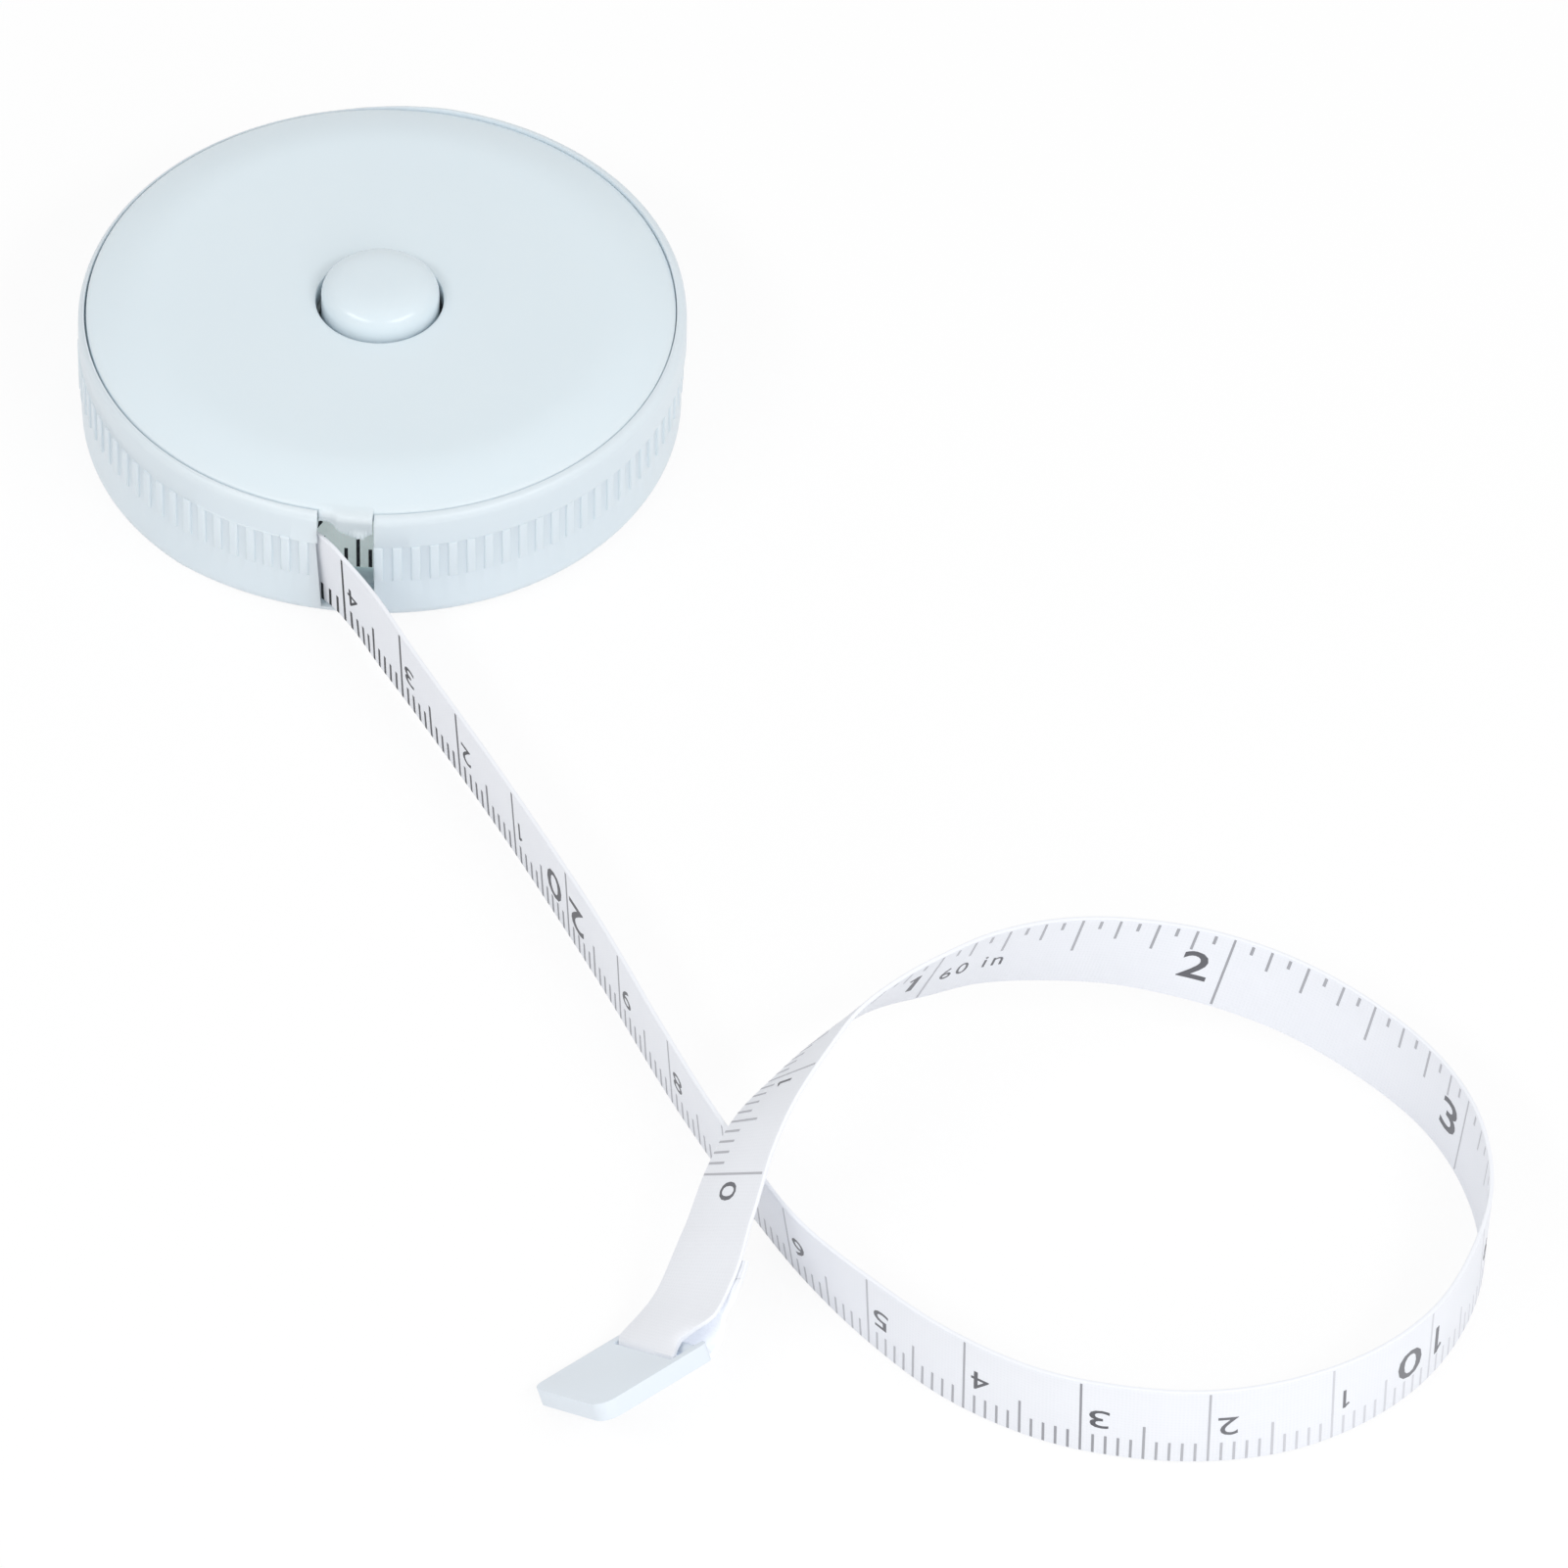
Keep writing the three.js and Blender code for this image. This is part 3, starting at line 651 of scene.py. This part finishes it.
def figure(text, wide, high, weight):
    """Figures as a flat plate of a given size, sliced so that they bend with the cloth."""
    letters = bpy.data.curves.new("figure", "FONT")
    letters.body = text
    letters.size = high * MM / capital_share
    letters.resolution_u = 3
    letters.extrude = (ink_proud + ink_sunk) / 2
    letters.offset = weight * MM
    letters.space_character = 1.25
    writing = add_object("figure", letters)
    bpy.context.view_layer.update()
    outline = bpy.data.meshes.new_from_object(writing)
    bpy.data.objects.remove(writing)
    shape = bmesh.new()
    shape.from_mesh(outline)
    bmesh.ops.remove_doubles(shape, verts=shape.verts, dist=0.001 * MM)
    corners = np.array([vertex.co for vertex in shape.verts])
    low, size = corners.min(axis=0), np.ptp(corners, axis=0)
    bmesh.ops.translate(shape, verts=shape.verts, vec=(-low[0], -low[1], 0))
    share = (wide * MM / size[0], high * MM / size[1], 1)
    bmesh.ops.scale(shape, verts=shape.verts, vec=share)
    for slice_place in np.arange(slice_width, wide, slice_width) * MM:
        divide(shape, (slice_place, 0, 0), (1, 0, 0))
    return as_mesh("figure " + text, shape)


def put(drawing, text, left, foot, wide, high, weight=0.0):
    """Writes figures from a left edge, standing on foot, all in millimetres."""
    known = set(drawing.verts)
    drawing.from_mesh(figure(text, wide, high, weight))
    fresh = [vertex for vertex in drawing.verts if vertex not in known]
    bmesh.ops.translate(drawing, verts=fresh, vec=Vector((left, foot, 0)) * MM)
    for face in {face for vertex in fresh for face in vertex.link_faces}:
        face.material_index = 1


def put_one(drawing, right, foot, high, stroke):
    """A figure 1: a stem that ends at the right edge, and its small flag."""
    known = len(drawing.faces)
    mark(drawing, right - stroke / 2, foot, foot + high, stroke)
    flag = bmesh.ops.create_cube(drawing, size=1)["verts"]
    size = Vector((high * 0.3 * MM, stroke * 0.8 * MM, ink_proud + ink_sunk))
    bmesh.ops.scale(drawing, verts=flag, vec=size)
    place = Vector((right - stroke / 2 - high * 0.1, foot + high * 0.87, 0)) * MM
    turn = Matrix.Translation(place) @ Matrix.Rotation(math.radians(38), 4, "Z")
    bmesh.ops.transform(drawing, matrix=turn, verts=flag)
    for face in list(drawing.faces)[known:]:
        face.material_index = 1


def lay_on(drawing, zero, face, thickness, line):
    """Turns a drawing onto one face of the cloth and wraps it on the tape's line."""
    flat = drawing.loops.layers.uv.new("flat")
    for piece in drawing.faces:
        for loop in piece.loops:
            loop[flat].uv = (loop.vert.co.x / MM, piece.material_index)
        piece.material_index = 0
    surface = thickness / 2 + (ink_proud - ink_sunk) / 2
    for vertex in drawing.verts:
        distance, height, depth = vertex.co
        vertex.co = (zero - distance, -face * height, face * (surface + depth))
    wrap(drawing, line)


half_tape = tape_width / MM / 2
print("marks hang from", round(half_tape, 2), "mm above the tape's middle")


# %% Centimetre face
def centimetre_scale(first, last):
    """Units stand before their line; a ten has its two figures either side of it."""
    drawing = bmesh.new()
    top = half_tape - 0.1
    ten = {"foot": -1.4, "wide": 2.6, "high": 3.0, "weight": 0.03}
    digit = {"foot": -0.97, "wide": 1.6, "high": 1.95}
    for step in range(first, last + 1):
        stroke = float(np.interp(step, (150, 230), (0.19, 0.28)))
        if step % 10 == 0:
            mark(drawing, step, 0.25 - half_tape, top, stroke)
        elif step % 5 == 0:
            mark(drawing, step, half_tape - 3.7, top, stroke + 0.02)
        else:
            mark(drawing, step, half_tape - 2.1, top, stroke + 0.02)
    for number in range(max(first // 10, 0), last // 10 + 1):
        line = number * 10
        if number == 10:
            put_one(drawing, line - 0.6, ten["foot"], ten["high"], 0.42)
        elif number % 10 == 0 and number > 0:
            put(drawing, str(number)[:-1], line - 3.07, **ten)
        elif number % 10 == 1:
            put_one(drawing, line - 0.9, digit["foot"], digit["high"], 0.26)
        else:
            put(drawing, str(number % 10), line - 2.28, **digit)
        if number % 10 == 0 and number > 0:
            put(drawing, "0", line + 1.16, **ten)
    return drawing


cm_drawing = centimetre_scale(0, int(zero_station / MM) - 1)
lay_on(cm_drawing, zero_station, 1, tape_thickness, free_line)
cm_print = finished("print_centimetres", cm_drawing, "case", ink)

# %% Inch face
inch = 25.4

# Sixteenths from tick to tick, the ticks' lower and upper ends, and their stroke
inch_ticks = [
    (16, 0.3 - half_tape, half_tape - 0.15, 0.2),
    (8, half_tape - 3.9, half_tape - 0.15, 0.22),
    (4, half_tape - 3.0, half_tape - 0.2, 0.22),
    (2, half_tape - 2.3, half_tape - 0.2, 0.22),
    (1, half_tape - 1.2, half_tape - 0.3, 0.26),
]


def inch_scale(last):
    """Inches in sixteenths, with each figure before its line."""
    drawing = bmesh.new()
    for step in range(0, last + 1):
        tick = next(row[1:] for row in inch_ticks if step % row[0] == 0)
        mark(drawing, step * inch / 16, *tick)
    foot, wide, high = -1.5, 2.4, 3.0
    put_one(drawing, inch - 1.3, foot, high, 0.5)
    for number in range(2, last // 16 + 1):
        put(drawing, str(number), number * inch - 3.55, foot, wide, high, 0.04)
    put(drawing, "60 in", inch + 1.1, -1.2, 5.8, 1.7)
    return drawing


inch_drawing = inch_scale(int(zero_station / MM / inch * 16) - 1)
lay_on(inch_drawing, zero_station, -1, tape_thickness, free_line)
inch_print = finished("print_inches", inch_drawing, "case", ink)

# %% [markdown]
# ## The folded end of the tape
# The last of the cloth, from below the bar to its glued end, is a piece of its own.
# It is cut flat like the tape and wrapped on the same line, further on.

# %% Tail beneath the tape
tail_start = free_length + past_bar + 0.02 * MM
tail = strip(whole_length - tail_start, 60, start=tail_start)
wrap(tail, whole_line)
tail = finished("tape_fold", tail, "case", folded_cloth)
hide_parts("tape_tail")

# %% [markdown]
# ## The end piece
# A small moulded plate keeps the tape from running into the case. Its outline is
# drawn with a few vertices and its outer corners are rounded while it is still flat.
# Then it is raised to its thickness, its edges are softened, and the flat bar that
# the cloth goes round is set across its open end.

# %% End piece
def end_piece():
    half, tab_length = tab_width / 2, 10.8
    window_half, window_end = 4.06, 3.2
    bar_place, bar_width, bar_thickness, bar_length = 0.75, 1.4, 0.9, 9.0
    shape = bmesh.new()
    outline = [
        (0, -half),
        (tab_length, -half),
        (tab_length, half),
        (0, half),
        (0, window_half),
        (window_end, window_half),
        (window_end, -window_half),
        (0, -window_half),
    ]
    under = -tab_thickness / 2 * MM
    corners = [shape.verts.new((x * MM, y * MM, under)) for x, y in outline]
    shape.faces.new(corners)
    for corner, rounding in zip(corners[:4], (0.5, 0.9, 1.5, 0.5)):
        soften(shape, [corner], rounding, "VERTICES", 8)
    raised = bmesh.ops.extrude_face_region(shape, geom=list(shape.faces))
    top = [item for item in raised["geom"] if isinstance(item, bmesh.types.BMVert)]
    bmesh.ops.translate(shape, verts=top, vec=(0, 0, tab_thickness * MM))
    bmesh.ops.recalc_face_normals(shape, faces=shape.faces)
    for outer, softness in ((True, 0.42), (False, 0.12)):
        edges = []
        for edge in shape.edges:
            at_rim = all(abs(v.co.y) > 4.5 * MM or v.co.x > 6 * MM for v in edge.verts)
            if edge.calc_face_angle(0) > math.radians(60) and at_rim == outer:
                edges.append(edge)
        soften(shape, edges, softness, "EDGES", 4, clamp_overlap=True)
    bar_middle = Matrix.Translation(Vector((bar_place, 0, 0)) * MM)
    flat_bar = bar_middle @ Matrix.Diagonal((bar_width, 1, bar_thickness, 1))
    bmesh.ops.create_cone(
        shape,
        cap_ends=True,
        segments=32,
        radius1=0.5 * MM,
        radius2=0.5 * MM,
        depth=bar_length * MM,
        matrix=flat_bar @ Matrix.Rotation(math.radians(90), 4, "X"),
    )
    bmesh.ops.transform(shape, matrix=tab_place, verts=shape.verts)
    return shape


tab = finished("end_piece", end_piece(), "case", tab_plastic)
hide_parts("end_tab")

# %% [markdown]
# ## The tape still wound on the reel
# Through the slot the outer turn of the winding can be seen, with its millimetre
# ticks. It is a real spiral of cloth: almost ten tight turns and one that has
# sprung loose. It rides on the reel, so it turns when the tape is pulled.

# %% Wound tape
wound_thickness = 0.25 * MM
wound_turns = 9.7
tight_pitch = 0.2833
loose_pitch = 0.7
tight_end_radius = 20.45
winding_middle = 5.4 * MM
end_angle = -128.5
turn_share = np.linspace(0, wound_turns + 1, 2400)
tight_radius = tight_end_radius - (wound_turns - turn_share) * tight_pitch
loose_radius = tight_end_radius + (turn_share - wound_turns) * loose_pitch
wound_radius = np.where(turn_share < wound_turns, tight_radius, loose_radius) * MM
wound_angle = np.radians(end_angle + 360 * (turn_share - wound_turns - 1))
wound_points = np.stack(
    [
        wound_radius * np.cos(wound_angle),
        wound_radius * np.sin(wound_angle),
        np.full_like(wound_radius, winding_middle),
    ],
    axis=1,
)
wound_line = tape_line(wound_points, np.tile([0.0, 0.0, 1.0], (len(wound_points), 1)))
wound_length = float(wound_line["station"][-1])
winding = strip(wound_length, 900, wound_thickness)
wrap(winding, wound_line)
winding = finished("tape_winding", winding, "reel", wound_cloth)
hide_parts("tape_roll", "tape_outer_turn")
print("wound tape", round(wound_length / MM), "mm")

# %% Ticks on the outer turn
seen_x, seen_y = 0.47, -21.1
turns_to_seen = (math.atan2(seen_y, seen_x) - math.radians(end_angle)) / math.tau
seen_turn = wound_turns + turns_to_seen
seen_station = float(np.interp(seen_turn, turn_share, wound_line["station"]))
seen_distance, ticks_before, ticks_after = 265, 34, 95
wound_zero = seen_station + seen_distance * MM
wound_drawing = centimetre_scale(seen_distance - ticks_before, seen_distance + ticks_after)
lay_on(wound_drawing, wound_zero, 1, wound_thickness, wound_line)
wound_print = finished("print_winding", wound_drawing, "reel", ink)

# %% [markdown]
# ## The case
# The lower shell is a lathe piece: a flat floor, a straight wall and a plain bezel
# with a rounded shoulder. The slot is cut with two blocks while the shell is still
# smooth, and the lower one's left side leans the way the tape leaves. The grip ribs
# are small softened blocks round the wall wherever there is no slot.

# %% Shell, with its slot
case_radius = 25.2
wall_top = 8.16
foot_round = 1.3
slot_half = 2.35
case_profile = [
    (0, 0),
    *quarter(case_radius - foot_round, foot_round, foot_round, -90, 0, 8),
    (case_radius, wall_top),
    (25.24, 8.24),
    (25.3, 8.34),
    *quarter(24.4, 10.6, 0.9, 0, 74, 9),
    (24.63, 11.42),
    (24.6, 10.2),
    (24.0, 10.2),
    (24.0, 1.6),
    (23.6, 1.2),
    (0, 1.2),
]


def slot_block(bottom, foot_inset, top, slant):
    """A block over the slot from one height to another, its left side leaning."""
    shape = bmesh.new()
    outside, inside, edge = -27.3, -22.0, -case_radius
    for height, inset in ((bottom, foot_inset), (top, 0.0)):
        left = -slot_half + inset
        corners = [
            (left + (edge - outside) * slant, outside),
            (slot_half, outside),
            (slot_half, inside),
            (left - (inside - edge) * slant, inside),
        ]
        shape.faces.new([shape.verts.new(Vector((x, y, height)) * MM) for x, y in corners])
    bmesh.ops.bridge_loops(shape, edges=list(shape.edges))
    return shape


def combined(shape, tool, operation):
    """The shape with the tool's volume taken out of it, or joined to it."""
    loose = []
    for part in (shape, tool):
        bmesh.ops.recalc_face_normals(part, faces=part.faces)
        loose.append(add_object("loose", as_mesh("loose", part)))
    change = loose[0].modifiers.new("change", "BOOLEAN")
    change.operation = operation
    change.solver = "EXACT"
    change.object = loose[1]
    bpy.context.view_layer.update()
    graph = bpy.context.evaluated_depsgraph_get()
    mesh = bpy.data.meshes.new_from_object(loose[0].evaluated_get(graph))
    for item in loose:
        bpy.data.objects.remove(item)
    result = bmesh.new()
    result.from_mesh(mesh)
    return result


shell = turned(case_profile, 306)

# The bezel's inner edge sits a little to the left, its lip stands higher at the rear
# right, and the foot is squarer at the front left
for vertex in shell.verts:
    radius = math.hypot(vertex.co.x, vertex.co.y) / MM
    angle = math.degrees(math.atan2(vertex.co.y, vertex.co.x))
    height = vertex.co.z / MM
    if height > 10 and radius < 24.8:
        vertex.co.x -= 0.17 * MM
    if height > 10.8 and radius > 24.5:
        vertex.co.z += float(np.interp(angle, (0, 20, 85, 105), (0, 0.4, 0.4, 0))) * MM
    if height < 1.2 and radius > 23:
        squarer = float(np.interp(angle, (-180, -165, -125, -95), (0, 0.8, 0.8, 0)))
        vertex.co.xy *= 1 + squarer * (case_radius - radius) / radius
jamb_slant = 1 / math.tan(math.radians(35))
shell = combined(shell, slot_block(1.0, 0.4, 9.6, jamb_slant), "DIFFERENCE")
shell = combined(shell, slot_block(9.5, 0.0, 13.5, 0.0), "DIFFERENCE")
print("shell", len(shell.faces), "faces")


# %% Grip ribs
def add_ribs(shape):
    """Ribs round the wall but for the slot, and how many there are."""
    count = 102
    first_angle = -0.926
    width = math.tau * case_radius / count * 0.52
    rib_size = Vector((width, 0.6, 3.8)) * MM
    rib_middle = Vector((0, -25.08, 6.4)) * MM
    made = 0
    for i in range(count):
        angle = math.radians(first_angle + 360 * i / count)
        if math.cos(angle) > 0 and abs(math.sin(angle)) * case_radius < slot_half:
            continue
        rib = bmesh.ops.create_cube(shape, size=1)["verts"]
        bmesh.ops.scale(shape, verts=rib, vec=rib_size)
        bmesh.ops.translate(shape, verts=rib, vec=rib_middle)
        front = dict.fromkeys(edge for vertex in rib for edge in vertex.link_edges)
        front = [e for e in front if all(v.co.y < -25.1 * MM for v in e.verts)]
        soft = soften(shape, front, 0.16, "EDGES", 3)
        pieces = set(soft["verts"]) | {v for v in rib if v.is_valid}
        turn = Matrix.Rotation(angle, 4, "Z")
        bmesh.ops.transform(shape, matrix=turn, verts=list(pieces))
        made += 1
    return made


ribs = bmesh.new()
print(add_ribs(ribs), "ribs")
shell = combined(shell, ribs, "UNION")


# %% Flash left by the mould along the bezel's lower edge, left of the slot
def add_flash(shape, from_angle, to_angle, proud, steps):
    """A thin ridge between two angles, in degrees round from the front."""
    tip = 25.3 + proud
    section = [(case_radius, wall_top), (tip, 8.26), (tip, 8.34), (25.28, 8.46)]
    start = Matrix.Rotation(math.radians(from_angle - 90), 4, "Z")
    places = [start @ (Vector((radius, 0, height)) * MM) for radius, height in section]
    ring = [shape.verts.new(place) for place in places]
    edges = [shape.edges.new(pair) for pair in zip(ring, ring[1:] + ring[:1])]
    shape.faces.new(ring)
    last = sweep(shape, ring + edges, steps, angle=math.radians(to_angle - from_angle))
    bmesh.ops.holes_fill(shape, edges=last, sides=0)


flash = bmesh.new()
add_flash(flash, -30, -12.6, 0.06, 24)
add_flash(flash, -12.4, -10.6, 0.16, 6)
add_flash(flash, -10.4, -5.9, 0.03, 8)
shell = combined(shell, flash, "UNION")

# The wall draws in by up to 0.3 mm towards its right side
for vertex in shell.verts:
    if vertex.co.xy.length > 24.4 * MM and vertex.co.z < 8.3 * MM:
        vertex.co.x -= 0.3 * MM * max(0.0, vertex.co.x / vertex.co.xy.length) ** 2

# %% Centre post and finished case
post = turned(
    [(0, 0.9), (3.0, 0.9), (3.0, 6.25), (2.85, 6.4), (1.6, 6.4), (1.6, 2.0), (0, 2.0)], 48
)
shell.from_mesh(as_mesh("post", post))
case = finished("case_shell", shell, "case", case_plastic, crease=32)
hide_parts("housing")

# %% [markdown]
# ## The top cover
# The disc that closes the case rises softly from its rim to a ring, then dips to
# the button's hole. A short tongue at its edge closes the top of the slot. Its
# lower lip was torn rather than cut when it left the mould, and is drawn that way.

# %% Cover disc
cover_radius = 24.45
crest_radius = 19.2
hole_radius = 5.34
edge_height, crest_height = 11.6, 12.8
dish_depth = 0.2


def cover_height(radius):
    if radius > crest_radius:
        share = (cover_radius - radius) / (cover_radius - crest_radius)
        return edge_height + (crest_height - edge_height) * math.sin(math.pi / 2 * share)
    share = (crest_radius - radius) / (crest_radius - hole_radius)
    return crest_height - dish_depth * (1 - (1 - share) ** 2)


outer_slope = [(r, cover_height(r)) for r in np.linspace(24.2, crest_radius, 16)]
inner_dish = [(r, cover_height(r)) for r in np.linspace(18.6, 5.6, 20)]
cover_profile = [
    (hole_radius, 10.7),
    (hole_radius + 1.1, 10.7),
    (hole_radius + 1.1, 11.2),
    (crest_radius, 11.6),
    (cover_radius - 1.1, 10.5),
    (cover_radius, 10.5),
    (24.53, 10.7),
    (24.53, 11.05),
    (24.5, 11.2),
    (24.5, 11.44),
    (24.46, 11.53),
    (24.36, 11.59),
    *outer_slope,
    *inner_dish,
    (5.44, 12.59),
    (5.35, 12.53),
    (5.32, 12.42),
]
cover_shape = turned(cover_profile, 180, closed=True)
to_the_left = Vector((-0.12, 0, 0)) * MM
bmesh.ops.translate(cover_shape, verts=cover_shape.verts, vec=to_the_left)
hole = [vertex for vertex in cover_shape.verts if vertex.co.xy.length < 6.2 * MM]
bmesh.ops.translate(cover_shape, verts=hole, vec=to_the_left)


# %% Tongue over the slot
def tongue():
    """A thin sheet down over the slot, with its lip's depths from left to right."""
    side_gap, lip_reach = 0.12, 2.18
    half = slot_half - side_gap
    lip_sides = (-1.0, -0.77, -0.47, -0.24, -0.05, 0.21, 0.36, 0.67, 0.82, 1.0)
    lip_shares = (0.41, 0.34, 0.46, 0.66, 0.74, 0.84, 0.86, 0.92, 0.75, 0.68)
    shape = bmesh.new()
    bmesh.ops.create_grid(shape, x_segments=36, y_segments=12, size=1)
    for vertex in shape.verts:
        side = vertex.co.x
        down = (1 - vertex.co.y) / 2
        lip_depth = float(np.interp(side, lip_sides, lip_shares)) * lip_reach
        lip_depth += 0.04 * math.sin(31 * side) + 0.03 * math.sin(57 * side + 1)
        set_back = float(np.interp(side, (-1, -0.55, -0.3, 1), (0.5, 0.4, 0.08, 0.0)))
        front = 25.25 - set_back
        flare = 0.18 * math.exp(-(((side - 0.5) / 0.3) ** 2)) + 0.04 * math.sin(43 * side)
        places = [0, 0.25, 0.42, 0.52, 0.6, 0.8, 1]
        radii = [23.7, 24.2, front - 0.3, front - 0.08, front, front + 0.02, front + flare]
        middle_height, low_height = 11.35 - lip_depth * 0.6, 11.6 - lip_depth
        heights = [11.7, 11.7, 11.52, 11.34, 11.1, middle_height, low_height]
        radius = float(np.interp(down, places, radii))
        height = float(np.interp(down, places, heights))
        x = side * half
        vertex.co = Vector((x, -math.sqrt(radius**2 - x**2), height)) * MM
    bmesh.ops.solidify(shape, geom=list(shape.faces), thickness=0.3 * MM)
    return shape


cover_shape = combined(cover_shape, tongue(), "UNION")
cover = finished(
    "cover_disc", cover_shape, "case", cover_plastic, crease=38
)
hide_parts("top_cover")

# %% [markdown]
# ## The button
# Pressing it lets the spring wind the tape in. It is one soft-edged cap with a
# flange below that holds it in the cover, a sleeve and a centre stem.

# %% Button
cap_radius, sleeve_radius, stem_radius, flange_radius = 4.92, 3.5, 1.2, 8.3
cap_foot, cap_rise = 12.85, 2.15
cap_arc = []
for angle in np.radians(np.linspace(90, 0, 18)):
    across_cap = math.cos(angle) ** 0.62
    up_cap = math.sin(angle) ** 0.78
    cap_arc.append((cap_radius * across_cap, cap_foot + cap_rise * up_cap))
button_profile = [
    *cap_arc,
    (cap_radius, 8.6),
    (flange_radius - 0.15, 8.6),
    (flange_radius, 8.45),
    (flange_radius, 8.0),
    (sleeve_radius, 8.0),
    (sleeve_radius, 12.9),
    (stem_radius, 12.9),
    (stem_radius, 4.1),
    (stem_radius - 0.1, 4.0),
    (0, 4.0),
]
cap_shape = turned(button_profile, 128)
bmesh.ops.translate(cap_shape, verts=cap_shape.verts, vec=(-0.18 * MM, 0, 0))
button_cap = finished(
    "button_cap", cap_shape, "push_button", button_plastic
)
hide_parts("button")

# %% [markdown]
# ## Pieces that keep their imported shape
# The drum, its plate, the brake ring and the main spring are right as they come, so
# only their finish changes. The small spring under the button is copied, because a
# copy can close up as the button goes down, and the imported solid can't.

# %% Finishes of the carried-over pieces
carried_over = {
    "drum": reel_plastic,
    "drum_plate": reel_plastic,
    "brake_ring": brake_rubber,
    "main_spring": spring_steel,
}
for node, finish in carried_over.items():
    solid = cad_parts[node]
    solid.data.materials.clear()
    solid.data.materials.append(finish)
print("refinished", ", ".join(carried_over))

# %% Return spring that closes up under the button
coils = bmesh.new()
coils.from_mesh(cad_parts["button_spring"].data)
bmesh.ops.remove_doubles(coils, verts=coils.verts, dist=0.001 * MM)
return_spring = finished(
    "return_spring", coils, "case", spring_steel, crease=50
)
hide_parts("button_spring")
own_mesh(return_spring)

# %% [markdown]
# ## Table and light
# The picture has a plain white ground. The table gives the camera, and anything
# that mirrors it, a nearly white glow mixed with a little ordinary white, so that
# soft shadows still fall on it; to all other rays it is plain white card. Two wide
# lamps stand left and right in front, a third lights the front without being
# mirrored, and an even sky fills the rest.

# %% Table
table_shape = bmesh.new()
bmesh.ops.create_grid(table_shape, x_segments=1, y_segments=1, size=6)
table_height = cad_box[0][2] - 0.02 * MM
bmesh.ops.translate(table_shape, verts=table_shape.verts, vec=(0, 0, table_height))
table = add_object("table", as_mesh("table", table_shape))

table_finish = bpy.data.materials.new("table")
table_finish.use_nodes = True
tree = table_finish.node_tree
tree.nodes.clear()
ray = add_node(tree, "ShaderNodeLightPath").outputs
seen = math_node(tree, "MAXIMUM", ray["Is Camera Ray"], ray["Is Glossy Ray"])
seen = math_node(tree, "MAXIMUM", seen, ray["Is Transmission Ray"])
glow = add_node(tree, "ShaderNodeEmission", Color=(1, 1, 1, 1), Strength=0.87).outputs[0]
faint = add_node(tree, "ShaderNodeBsdfDiffuse", Color=(0.13, 0.13, 0.13, 1)).outputs[0]
card = add_node(tree, "ShaderNodeBsdfDiffuse", Color=(0.85, 0.85, 0.86, 1)).outputs[0]
shown = fill(tree, add_node(tree, "ShaderNodeAddShader"), glow, faint)[0]
either = fill(tree, add_node(tree, "ShaderNodeMixShader"), seen, card, shown)[0]
add_node(tree, "ShaderNodeOutputMaterial", Surface=either)
table.data.materials.append(table_finish)
print("table at", round(table_height / MM, 2), "mm")

# %% Sky and lamps
world = bpy.data.worlds.new("sky")
world.use_nodes = True
sky = world.node_tree
background = sky.nodes["Background"]
background.inputs["Color"].default_value = (1, 1, 1, 1)
ray = add_node(sky, "ShaderNodeLightPath").outputs
sky_seen = math_node(sky, "MAXIMUM", ray["Is Camera Ray"], ray["Is Transmission Ray"])
sky_strength = math_node(sky, "MULTIPLY", sky_seen, 0.34)
sky_strength = math_node(sky, "ADD", sky_strength, 0.66)
sky.links.new(sky_strength, background.inputs["Strength"])
bpy.context.scene.world = world

scene_middle = Vector((0.03, -0.05, 0.0))


def lamp(name, direction, distance, width, height, power, mirrored=True):
    data = bpy.data.lights.new(name, "AREA")
    data.shape = "RECTANGLE"
    data.size = width
    data.size_y = height
    data.energy = power
    item = add_object(name, data)
    way = Vector(direction).normalized()
    item.location = scene_middle + way * distance
    item.rotation_euler = way.to_track_quat("Z", "Y").to_euler()
    item.visible_glossy = mirrored


lamp("left lamp", (-0.50, -0.46, 0.70), 0.9, 0.6, 0.16, 1.62)
lamp("right lamp", (0.57, -0.40, 0.68), 0.9, 0.6, 0.16, 1.85)
lamp("front lamp", (0.5, -0.75, 0.42), 0.9, 0.5, 0.35, 0.95, mirrored=False)
print("three lamps and an even sky")
